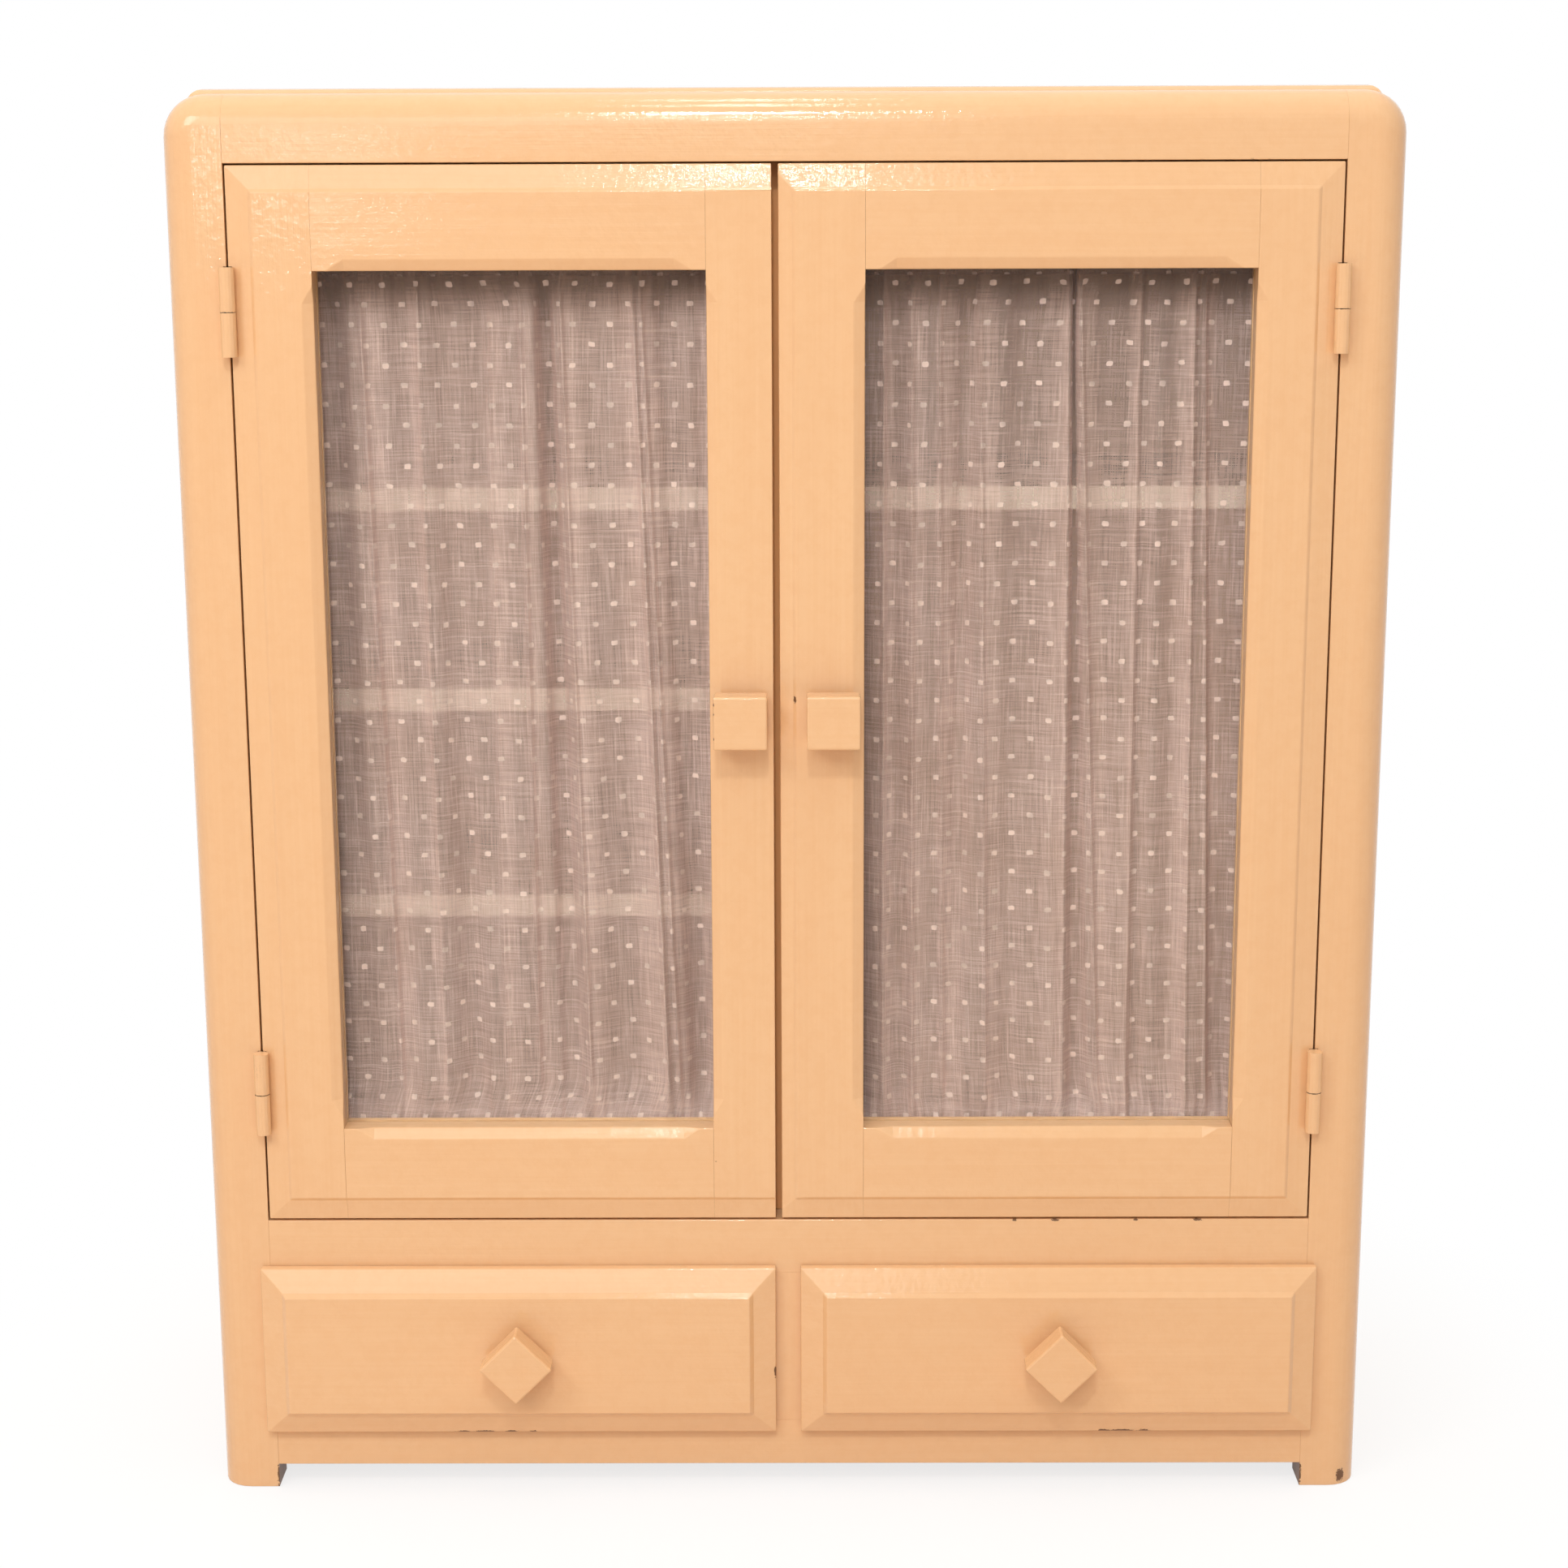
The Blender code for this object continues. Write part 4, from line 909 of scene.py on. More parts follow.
@dataclass
class SoftBoards:
    """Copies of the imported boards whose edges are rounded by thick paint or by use."""

    frame: dict
    radius: float = 0.0007
    seam_radius: float = 0.00008
    bridge: float = 0.00028
    seam_reach: float = 0.0006
    coat: float = 0.0005
    shortest: float = 0.0024
    segments: int = 2
    hollow_turn: float = math.radians(6)
    smooth_turn: float = math.radians(46)
    flat_turn: float = math.radians(0.4)
    merge: float = 0.00001
    trees: dict[str, BVHTree] = field(default_factory=dict)

    def tree_of(self, node: str) -> BVHTree:
        """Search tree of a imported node.

        Args:
            node: Name of the node.

        Returns:
            Its search tree, built once.
        """
        if node not in self.trees:
            mesh = self.frame["nodes"][node].data
            corners = [v.co.copy() for v in mesh.vertices]
            self.trees[node] = BVHTree.FromPolygons(corners, [tuple(p.vertices) for p in mesh.polygons])
        return self.trees[node]

    def neighbours(self, node: str) -> list[str]:
        """Other nodes of the same body whose boxes touch a node's box.

        Args:
            node: Name of the node.

        Returns:
            The names of the nodes around it.
        """
        low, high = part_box(node)
        found = []
        for members in self.frame["record"]["behaviour"]["bodies"].values():
            if node not in members:
                continue
            for other in members:
                near_low, near_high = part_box(other)
                apart = [max(near_low[i] - high[i], low[i] - near_high[i]) for i in range(3)]
                if other != node and max(apart) < self.seam_reach:
                    found.append(other)
        return found

    def mark_edges(self, piece: Thing, node: str, least_turn: float) -> None:
        """Writes how far each edge of a board is rounded.

        Args:
            piece: The merged copy of the board.
            node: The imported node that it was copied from.
            least_turn: Flatter edges than this, in radians, stay as they are.
        """
        around = [self.tree_of(other) for other in self.neighbours(node)]
        mesh = piece.data
        form = bmesh.new()
        form.from_mesh(mesh)
        weights = []
        for edge in form.edges:
            turn = edge.calc_face_angle_signed(0.0) if edge.is_manifold else 0.0
            if turn < least_turn or edge.calc_length() < self.shortest:
                weights.append(0.0)
                continue
            middle = (edge.verts[0].co + edge.verts[1].co) / 2
            seam = any(tree.find_nearest(middle, self.seam_reach)[0] is not None for tree in around)
            weights.append(self.seam_radius / self.radius if seam else 1.0)
        form.free()
        mark = mesh.attributes.new("bevel_weight_edge", "FLOAT", "EDGE")
        mark.data.foreach_set("value", weights)

    def close_joints(self, piece: Thing, along: int) -> None:
        """Lengthens a rail so that the paint bridges the joints at both of its ends.

        Args:
            piece: The copy of the rail, all selected in edit mode.
            along: Axis that the rail runs along.
        """
        ends = [vertex.co[along] for vertex in piece.data.vertices]
        length = max(ends) - min(ends)
        middle = Vector((0.0, 0.0, 0.0))
        middle[along] = (max(ends) + min(ends)) / 2
        stretch = [1.0, 1.0, 1.0]
        stretch[along] = (length + 2 * self.bridge) / length
        bpy.ops.transform.resize(value=stretch, center_override=middle)

    def thicken(self, piece: Thing, edges: list[tuple[int, float, float]]) -> None:
        """Moves a board's outer edges out by the thickness of its many coats of paint.

        Args:
            piece: The copy of the board, in object mode.
            edges: For each edge its axis, its place and the way out along the axis, -1 or 1.
        """
        for axis, place, way in edges:
            for vertex in piece.data.vertices:
                if abs(vertex.co[axis] - place) < self.seam_reach / 2:
                    vertex.co[axis] += way * self.coat

    def crease_hollows(self, piece: Thing) -> None:
        """Keeps the hollow corners of a board sharp, so that its flat faces stay flat in the light.

        Args:
            piece: The copy of the board, already shaded smooth.
        """
        form = bmesh.new()
        form.from_mesh(piece.data)
        for edge in form.edges:
            if edge.is_manifold and edge.calc_face_angle_signed(0.0) < -self.hollow_turn:
                edge.smooth = False
        form.to_mesh(piece.data)
        form.free()

    def soften(self, node: str, material: bpy.types.Material, slot: str, least_turn: float = 22.0,
               joined: int | None = None, edges: list[tuple[int, float, float]] | None = None) -> Thing:
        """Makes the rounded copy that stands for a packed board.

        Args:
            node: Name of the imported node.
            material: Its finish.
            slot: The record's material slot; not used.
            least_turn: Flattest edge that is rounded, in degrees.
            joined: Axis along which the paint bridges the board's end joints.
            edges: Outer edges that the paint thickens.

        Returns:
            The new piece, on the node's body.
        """
        source = self.frame["nodes"][node]
        piece = bpy.data.objects.new(node + "_soft", source.data.copy())
        bpy.context.scene.collection.objects.link(piece)
        take_up(piece)
        bpy.ops.mesh.customdata_custom_splitnormals_clear()
        bpy.ops.object.mode_set(mode="EDIT")
        bpy.ops.mesh.select_all(action="SELECT")
        bpy.ops.mesh.remove_doubles(threshold=self.merge)
        bpy.ops.mesh.dissolve_limited(angle_limit=self.flat_turn)
        if joined is not None:
            self.close_joints(piece, joined)
        bpy.ops.object.mode_set(mode="OBJECT")
        self.thicken(piece, edges or [])
        self.mark_edges(piece, node, math.radians(least_turn))
        bevel = piece.modifiers.new("paint", "BEVEL")
        bevel.limit_method = "WEIGHT"
        bevel.width = self.radius
        bevel.segments = self.segments
        bevel.use_clamp_overlap = True
        finish_modifiers(piece)
        bpy.ops.object.shade_smooth_by_angle(angle=self.smooth_turn)
        self.crease_hollows(piece)
        even = piece.modifiers.new("flat fields", "WEIGHTED_NORMAL")
        even.keep_sharp = True
        finish_modifiers(piece)
        dress(piece, material)
        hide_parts(node)
        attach(piece, source["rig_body"])
        return piece


# Sub-assemblies


@dataclass
class Case:
    """The fixed case: face frame, boards and shelves."""

    boards: SoftBoards
    finishes: dict[str, bpy.types.Material]
    round_turn: float = 22.0

    def build(self) -> None:
        """Dresses every fixed board."""
        joined = {"top_rail": 0, "middle_rail": 0, "bottom_rail": 0, "drawer_muntin": 2}
        level = ("top_rail", "bottom_rail", "top_board")
        upright = ("left_side_panel", "right_side_panel", "drawer_muntin")
        inside = ("cupboard_floor", "left_upper_shelf", "left_middle_shelf", "left_lower_shelf",
                  "right_shelf")
        raw = ("bottom_board", "drawer_divider", "left_drawer_guide", "right_drawer_guide")
        plans = [("middle_rail", "rail_paint", "paint"), ("back_panel", "back_plywood", "plywood"),
                 ("centre_partition", "partition_paint", "inside")]
        plans += [(f"{side.word}_front_post", f"{side.word}_post_paint", "paint") for side in Side]
        plans += [(node, "level_paint", "paint") for node in level]
        plans += [(node, "upright_paint", "paint") for node in upright]
        plans += [(node, "inside_paint", "inside") for node in inside]
        plans += [(node, "deep_wood", "raw_wood") for node in raw]
        for node, finish, slot in plans:
            piece = self.boards.soften(node, self.finishes[finish], slot, self.round_turn, joined.get(node))
            LOG.info("case board %s: %d faces", piece.name, len(piece.data.polygons))


@dataclass
class Hinges:
    """The four lift-off hinges, painted over with the front."""

    frame: dict
    finishes: dict[str, bpy.types.Material]

    def build(self) -> None:
        """Dresses both halves of every hinge."""
        for side in Side:
            for level in ("upper", "lower"):
                for node in (f"{side.word}_{level}_hinge_post_leaf", f"{side.word}_door_{level}_hinge_leaf"):
                    dress(self.frame["nodes"][node], self.finishes["hinge_paint"])
                    LOG.info("hinge half %s", node)


@dataclass
class Door:
    """One glazed door with its knob, bead and curtain rods."""

    side: Side
    frame: dict
    boards: SoftBoards
    finishes: dict[str, bpy.types.Material]
    crease_turn: float = 8.0

    def build(self) -> None:
        """Dresses the door's boards, pane, bead, rods and knob."""
        name = f"{self.side.word}_door"
        meeting = f"{self.side.word}_stile_paint"
        plans = (("hinge_stile", "upright_paint", None), ("meeting_stile", meeting, None),
                 ("top_rail", "level_paint", 0), ("bottom_rail", "level_paint", 0))
        low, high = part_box(f"{name}_hinge_stile")
        outer = high.x if self.side is Side.RIGHT else low.x
        edges = [(0, outer, float(self.side.value)), (2, high.z, 1.0), (2, low.z, -0.5)]
        for member, finish, joined in plans:
            self.boards.soften(f"{name}_{member}", self.finishes[finish], "paint", self.crease_turn,
                               joined, edges)
        self.boards.soften(f"{name}_glazing_bead", self.finishes["level_paint"], "paint")
        nodes = self.frame["nodes"]
        dress(nodes[f"{name}_glass"], self.finishes["glass"])
        dress(nodes[f"{name}_knob"], self.finishes[f"{self.side.word}_knob_paint"])
        for end in ("top", "bottom"):
            dress(nodes[f"{name}_curtain_{end}_rod"], self.finishes["wire"])
        LOG.info("%s dressed", name)


@dataclass
class Drawer:
    """One drawer: painted front and knob, raw wood box."""

    side: Side
    frame: dict
    boards: SoftBoards
    finishes: dict[str, bpy.types.Material]
    crease_turn: float = 8.0

    def build(self) -> None:
        """Dresses the drawer's front, knob and box."""
        name = f"{self.side.word}_drawer"
        self.boards.soften(f"{name}_front", self.finishes[f"{name}_paint"], "paint", self.crease_turn)
        dress(self.frame["nodes"][f"{name}_knob"], self.finishes[f"{name}_knob_paint"])
        for board, finish in (("inner_side", "deep_wood"), ("outer_side", "deep_wood"),
                              ("back", "level_wood"), ("bottom", "plywood")):
            self.boards.soften(f"{name}_{board}", self.finishes[finish],
                               "plywood" if board == "bottom" else "raw_wood")
        LOG.info("%s dressed", name)


Spot = tuple[Vector, Vector]


@dataclass
class Fasteners:
    """Slotted hinge screws, and the pins of the glazing beads and drawer boxes."""

    finishes: dict[str, bpy.types.Material]
    screw_radius: float = 0.0032
    pin_radius: float = 0.0013
    proud: float = 0.00018
    sunk: float = 0.0008
    slot_half: float = 0.00042
    slot_depth: float = 0.0006
    rim: float = 0.00010
    screw_depth: float = 0.0095
    screw_spread: float = 0.016
    pins_across: int = 3
    pins_up: int = 5
    bead_inset: float = 0.0042
    drawer_pin_heights: tuple[float, ...] = (0.22, 0.52, 0.82)
    drawer_front_inset: float = 0.018
    drawer_back_inset: float = 0.004
    rim_turn: float = math.radians(50)
    smooth_turn: float = math.radians(40)

    def disc(self, name: str, radius: float, corners: int) -> Thing:
        """Starts a head as a flat disc that faces up.

        Args:
            name: Name of the head.
            radius: Its radius.
            corners: Corners of its rim.

        Returns:
            The disc around the origin, a little proud of it.
        """
        deselect()
        bpy.ops.mesh.primitive_circle_add(vertices=corners, radius=radius, fill_type="NGON",
                                          location=(0.0, 0.0, self.proud))
        head = bpy.context.active_object
        head.name = head.data.name = name
        settle(head)
        return head

    def close_head(self, head: Thing) -> Thing:
        """Draws the rim of a head down into the piece that it holds, and closes it.

        Args:
            head: The head, in edit mode.

        Returns:
            The closed head, in object mode.
        """
        bpy.ops.mesh.select_mode(type="EDGE")
        bpy.ops.mesh.select_all(action="DESELECT")
        bpy.ops.mesh.select_non_manifold()
        down = (0.0, 0.0, -self.proud - self.sunk)
        bpy.ops.mesh.extrude_edges_move(TRANSFORM_OT_translate={"value": down})
        bpy.ops.mesh.edge_face_add()
        bpy.ops.mesh.select_all(action="SELECT")
        bpy.ops.mesh.normals_make_consistent(inside=False)
        bpy.ops.object.mode_set(mode="OBJECT")
        edge = head.modifiers.new("rim", "BEVEL")
        edge.width = self.rim
        edge.segments = 2
        edge.limit_method = "ANGLE"
        edge.angle_limit = self.rim_turn
        finish_modifiers(head)
        bpy.ops.object.shade_smooth_by_angle(angle=self.smooth_turn)
        return head

    def screw_head(self) -> Thing:
        """Models one slotted screw head.

        Returns:
            The head, around the origin.
        """
        head = self.disc("screw_head", self.screw_radius, 24)
        bpy.ops.object.mode_set(mode="EDIT")
        for across in (-self.slot_half, self.slot_half):
            bpy.ops.mesh.select_all(action="SELECT")
            bpy.ops.mesh.bisect(plane_co=(across, 0.0, 0.0), plane_no=(1.0, 0.0, 0.0))
        bpy.ops.object.mode_set(mode="OBJECT")
        pick_faces(head, (-self.slot_half, -1.0, -1.0), (self.slot_half, 1.0, 1.0))
        bpy.ops.mesh.extrude_region_move(TRANSFORM_OT_translate={"value": (0.0, 0.0, -self.slot_depth)})
        return self.close_head(head)

    def pin_head(self) -> Thing:
        """Models one domed pin head.

        Returns:
            The head, around the origin.
        """
        head = self.disc("pin_head", self.pin_radius, 12)
        bpy.ops.object.mode_set(mode="EDIT")
        bpy.ops.mesh.select_all(action="SELECT")
        for lift in (0.5, 0.25):
            bpy.ops.mesh.inset(thickness=self.pin_radius * 0.3, depth=self.proud * lift)
        return self.close_head(head)

    def place(self, head: Thing, spots: list[Spot], name: str, body: str, slot: str) -> None:
        """Sets copies of a head, each turned its own way, and joins them.

        Args:
            head: The head to copy.
            spots: For each copy its place and the way that it faces.
            name: Name of the joined piece.
            body: The body that it rides on.
            slot: The record's material slot; not used.
        """
        draw = random.Random(name)
        copies = []
        for point, outward in spots:
            copy = bpy.data.objects.new(name, head.data.copy())
            bpy.context.scene.collection.objects.link(copy)
            turn = Matrix.Rotation(draw.uniform(0.0, math.pi), 4, "Z")
            facing = outward.to_track_quat("Z", "Y").to_matrix().to_4x4()
            copy.matrix_world = Matrix.Translation(point) @ facing @ turn
            bpy.context.view_layer.update()
            settle(copy)
            copies.append(copy)
        piece = join(copies, name)
        dress(piece, self.finishes["steel"])
        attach(piece, body)
        LOG.info("%s: %d heads", name, len(spots))

    def hinge_spots(self, side: Side, on_door: bool) -> list[Spot]:
        """Screw places in the hinge leaves of one side.

        Args:
            side: The side of the cabinet.
            on_door: True for the leaves on the door, False for those on the post.

        Returns:
            Places and facing directions.
        """
        stile_low, stile_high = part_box(f"{side.word}_door_hinge_stile")
        post_low, post_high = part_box(f"{side.word}_front_post")
        if side is Side.RIGHT:
            face = stile_high.x if on_door else post_low.x
        else:
            face = stile_low.x if on_door else post_high.x
        outward = Vector((float(side.value if on_door else -side.value), 0.0, 0.0))
        spots = []
        for level in ("upper", "lower"):
            low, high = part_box(f"{side.word}_{level}_hinge_post_leaf")
            for way in (-1, 1):
                height = (low.z + high.z) / 2 + way * self.screw_spread
                spots.append((Vector((face, FRONT_Y + self.screw_depth, height)), outward))
        return spots

    def bead_spots(self, side: Side) -> list[Spot]:
        """Pin places on the back of a door's glazing bead.

        Args:
            side: The side of the cabinet.

        Returns:
            Places and facing directions.
        """
        low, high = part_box(f"{side.word}_door_glazing_bead")
        inset = self.bead_inset
        back = Vector((0.0, 1.0, 0.0))
        spots = []
        for step in range(self.pins_across):
            across = low.x + (high.x - low.x) * (step + 0.5) / self.pins_across
            spots += [(Vector((across, high.y, height)), back) for height in (low.z + inset, high.z - inset)]
        for step in range(self.pins_up):
            height = low.z + (high.z - low.z) * (step + 0.5) / self.pins_up
            spots += [(Vector((across, high.y, height)), back) for across in (low.x + inset, high.x - inset)]
        return spots

    def drawer_spots(self, side: Side) -> list[Spot]:
        """Pin places on the outer faces of a drawer's sides.

        Args:
            side: The side of the cabinet.

        Returns:
            Places and facing directions.
        """
        spots = []
        for board, way in (("outer_side", side.value), ("inner_side", -side.value)):
            low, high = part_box(f"{side.word}_drawer_{board}")
            face = high.x if way > 0 else low.x
            outward = Vector((float(way), 0.0, 0.0))
            for share in self.drawer_pin_heights:
                height = low.z + (high.z - low.z) * share
                for depth in (low.y + self.drawer_front_inset, high.y - self.drawer_back_inset):
                    spots.append((Vector((face, depth, height)), outward))
        return spots

    def build(self) -> None:
        """Sets every screw and pin."""
        screw = self.screw_head()
        pin = self.pin_head()
        posts = self.hinge_spots(Side.LEFT, False) + self.hinge_spots(Side.RIGHT, False)
        self.place(screw, posts, "post_hinge_screws", "root", "hinge")
        for side in Side:
            door, drawer = f"{side.word}_door", f"{side.word}_drawer"
            self.place(screw, self.hinge_spots(side, True), f"{door}_hinge_screws", door, "hinge")
            self.place(pin, self.bead_spots(side), f"{door}_bead_pins", door, "rod")
            self.place(pin, self.drawer_spots(side), f"{drawer}_pins", drawer, "rod")
        for head in (screw, pin):
            bpy.data.objects.remove(head)


# Curtains


@dataclass(frozen=True)
class Pleat:
    """One fold of a hung curtain. Places and widths are shares of the hung width, depths are metres.

    A positive depth comes forward. Each pair gives the value at the top and at the foot.
    """

    place: tuple[float, float]
    width: tuple[float, float]
    depth: tuple[float, float]
    crisp: float = 2.0
    lap: float = 0.0
    layer: float = 0.0

    def at(self, across: float, down: float) -> float:
        """How far the pleat moves the cloth.

        Args:
            across: Place across the hung width, 0 to 1.
            down: Place down the hung height, 0 to 1.

        Returns:
            The move forward, in metres.
        """
        place, width, depth = (a + (b - a) * down for a, b in (self.place, self.width, self.depth))
        return depth * math.exp(-abs((across - place) / width) ** self.crisp)

    def lapped(self, across: float, down: float) -> float:
        """How much of a second layer lies behind the cloth beside the pleat.

        Args:
            across: Place across the hung width, 0 to 1.
            down: Place down the hung height, 0 to 1.

        Returns:
            One at the pleat, and zero at the end of the lap and on the pleat's other side.
        """
        if self.lap == 0.0:
            return 0.0
        place = self.place[0] + (self.place[1] - self.place[0]) * down
        share = (across - place) / self.lap
        return (1.0 - share) ** 0.6 if 0.0 <= share <= 1.0 else 0.0

    def thinned(self, across: float, down: float) -> float:
        """How much of a layer the pleat adds to the cloth, or takes from it, less and less towards the foot.

        Args:
            across: Place across the hung width, 0 to 1.
            down: Place down the hung height, 0 to 1.

        Returns:
            The share of a layer.
        """
        if self.layer == 0.0:
            return 0.0
        place, width = (a + (b - a) * down for a, b in (self.place, self.width))
        return self.layer * (1.0 - down) ** 2 * math.exp(-abs((across - place) / width) ** 6.0)


@dataclass
class Curtain:
    """A sheer curtain gathered on two rods behind a door's glass."""

    side: Side
    pleats: tuple[Pleat, ...]
    cloth: bpy.types.Material
    seed: int
    flat_width: float = 0.290
    columns: int = 480
    web_rows: int = 96
    casing_rows: int = 12
    casing_drop: float = 0.010
    ease: float = 0.0009
    gather_reach: float = 0.10
    gather_count: int = 30
    gather_height: float = 0.0016
    lap_depth: float = 0.55
    slow_sway: float = 0.0015
    quick_sway: float = 0.0007
    hem_share: float = 0.3
    most_folded: float = 2.2
    halvings: int = 14

    def node(self, part: str = "") -> str:
        """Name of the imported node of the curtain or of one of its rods."""
        return f"{self.side.word}_door_curtain{part}"

    def ripple(self, across: float) -> float:
        """Small gathers at a rod, from 0 to 1.

        Args:
            across: Place across the hung width, 0 to 1.

        Returns:
            Height of the gather.
        """
        draw = random.Random(self.seed)
        total = 0.0
        for share in (1.0, 0.63, 1.57):
            phase = draw.uniform(0.0, 2 * math.pi)
            total += math.sin(2 * math.pi * self.gather_count * share * across + phase)
        return 0.5 + total / 6.0

    def sway(self, across: float, down: float) -> float:
        """Main folds of the hanging web.

        Args:
            across: Place across the hung width, 0 to 1.
            down: Place down the hung height, 0 to 1.

        Returns:
            The move forward, in metres.
        """
        total = sum(pleat.at(across, down) for pleat in self.pleats)
        slow = math.sin(2 * math.pi * (5.3 * across + 0.35 * down) + self.seed)
        quick = math.sin(2 * math.pi * (11.7 * across - 0.5 * down) + 2.1 * self.seed)
        return total + self.slow_sway * slow + self.quick_sway * quick

    def rows(self, top: float, foot: float) -> list[tuple[float, float, float, float, float]]:
        """Path of the cloth from the upper hem, over both rods, to the lower hem.

        Args:
            top: Height of the upper rod.
            foot: Height of the lower rod.

        Returns:
            For each row its depth, height, forward and upward share of its outward direction, and how
            much of it is gathered.
        """
        reach = ROD_RADIUS + self.ease
        path = []
        for step in range(self.casing_rows + 1):
            share = step / self.casing_rows
            if share < self.hem_share:
                rise = self.casing_drop * (1 - share / self.hem_share)
                path.append((reach, -rise, -1.0, 0.0, 1.0))
            else:
                turn = math.pi * (share - self.hem_share) / (1.0 - self.hem_share)
                back, up = math.cos(turn), math.sin(turn)
                path.append((reach * back, reach * up, -back, up, 1.0))
        rows = [(ROD_DEPTH + d, top + z, f, u, g) for d, z, f, u, g in path]
        for step in range(1, self.web_rows):
            share = step / self.web_rows
            edge = min(share, 1 - share) / self.gather_reach
            gathered = max(0.0, 1 - edge) ** 2
            rows.append((ROD_DEPTH - reach * gathered, top + (foot - top) * share, 1.0, 0.0, gathered))
        rows += [(ROD_DEPTH + d, foot - z, f, -u, g) for d, z, f, u, g in reversed(path)]
        return rows

    def row_line(self, row: tuple, width: float, down: float
                 ) -> tuple[list[tuple[float, float]], list[float], list[float]]:
        """One row of the cloth, as wide as its flat width when pulled straight.

        Args:
            row: The row's path values.
            width: Hung width.
            down: Place down the hung height, 0 to 1.

        Returns:
            Each column's place across and its move outward, how far it turns from the front, and how
            much of a second layer lies behind it.
        """
        gathered = row[4]
        count = 3 * self.columns
        shares = [i / count for i in range(count + 1)]
        moves = [(1 - gathered) * self.sway(share, down) + gathered * self.gather_height * self.ripple(share)
                 for share in shares]
        step = width / count

        def length(factor: float) -> float:
            """Length of the row when its folds are deepened by a factor."""
            return sum(math.hypot(step, factor * (b - a)) for a, b in zip(moves, moves[1:]))

        low, high = 0.0, self.most_folded
        for _ in range(self.halvings):
            middle = (low + high) / 2
            if length(middle) < self.flat_width:
                low = middle
            else:
                high = middle
        moves = [low * move for move in moves]
        run = [0.0]
        for first, second in zip(moves, moves[1:]):
            run.append(run[-1] + math.hypot(step, second - first))
        line, turns, laps = [], [], []
        index = 0
        for column in range(self.columns + 1):
            target = run[-1] * column / self.columns
            while index < count - 1 and run[index + 1] < target:
                index += 1
            part = (target - run[index]) / (run[index + 1] - run[index])
            line.append(((index + part) * step, moves[index] + part * (moves[index + 1] - moves[index])))
            turns.append(1 - step / (run[index + 1] - run[index]))
            doubled = max(pleat.lapped(shares[index], down) for pleat in self.pleats)
            parted = sum(pleat.thinned(shares[index], down) for pleat in self.pleats)
            laps.append(self.lap_depth * doubled + parted)
        return line, turns, laps

    def build(self) -> Thing:
        """Returns:
            The curtain.
        """
        low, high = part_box(self.node())
        top = sum(corner.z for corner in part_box(self.node("_top_rod"))) / 2
        foot = sum(corner.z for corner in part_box(self.node("_bottom_rod"))) / 2
        rows = self.rows(top, foot)
        width = high.x - low.x
        deselect()
        bpy.ops.mesh.primitive_grid_add(x_subdivisions=self.columns, y_subdivisions=len(rows) - 1, size=1.0)
        curtain = bpy.context.active_object
        curtain.name = curtain.data.name = f"{self.side.word}_curtain"
        grid = [[None] * (self.columns + 1) for _ in rows]
        turned = [[0.0] * (self.columns + 1) for _ in rows]
        lapped = [[0.0] * (self.columns + 1) for _ in rows]
        flat_length = 0.0
        lengths = [0.0]
        for before, after in zip(rows, rows[1:]):
            flat_length += math.hypot(after[0] - before[0], after[1] - before[1])
            lengths.append(flat_length)
        for index, row in enumerate(rows):
            down = min(1.0, max(0.0, (top - row[1]) / (top - foot)))
            line, turns, laps = self.row_line(row, width, down)
            depth, height, forward, upward, _ = row
            for column, (across, move) in enumerate(line):
                grid[index][column] = (low.x + across, FRONT_Y + depth - forward * move,
                                       height + upward * move)
                turned[index][column] = turns[column]
                lapped[index][column] = laps[column]
        mesh = curtain.data
        for label in ("turned_away", "lapped"):
            mesh.attributes.new(label, "FLOAT", "POINT")
        for vertex in mesh.vertices:
            column = round((vertex.co.x + 0.5) * self.columns)
            row_index = round((0.5 - vertex.co.y) * (len(rows) - 1))
            mesh.attributes["turned_away"].data[vertex.index].value = turned[row_index][column]
            mesh.attributes["lapped"].data[vertex.index].value = lapped[row_index][column]
            vertex.co = grid[row_index][column]
        layer = mesh.uv_layers[0]
        layer.name = "flat_cloth"
        for loop in mesh.uv_layers["flat_cloth"].data:
            row_index = round((1 - loop.uv.y) * (len(rows) - 1))
            loop.uv = (loop.uv.x * self.flat_width, -lengths[row_index])
        take_up(curtain)
        bpy.ops.object.shade_smooth()
        dress(curtain, self.cloth)
        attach(curtain, f"{self.side.word}_door")
        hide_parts(self.node())
        LOG.info("%s: flat %.3f by %.3f m", curtain.name, self.flat_width, flat_length)
        return curtain


CREASE_WIDTH = 0.0065
HOLLOW_CRISP = 2.4


def crease(top: float, foot: float, depth: float = 0.0016, lap: float = 0.0) -> Pleat:
    """A thin pressed-in ridge, with the cloth doubled beside it."""
    return Pleat((top, foot), (CREASE_WIDTH, CREASE_WIDTH), (depth, depth), lap=lap)


def hollow(top: float, foot: float, width: float, depth: float) -> Pleat:
    """A rounded furrow between two folds."""
    return Pleat((top, foot), (width, width), (-depth, -depth), HOLLOW_CRISP)


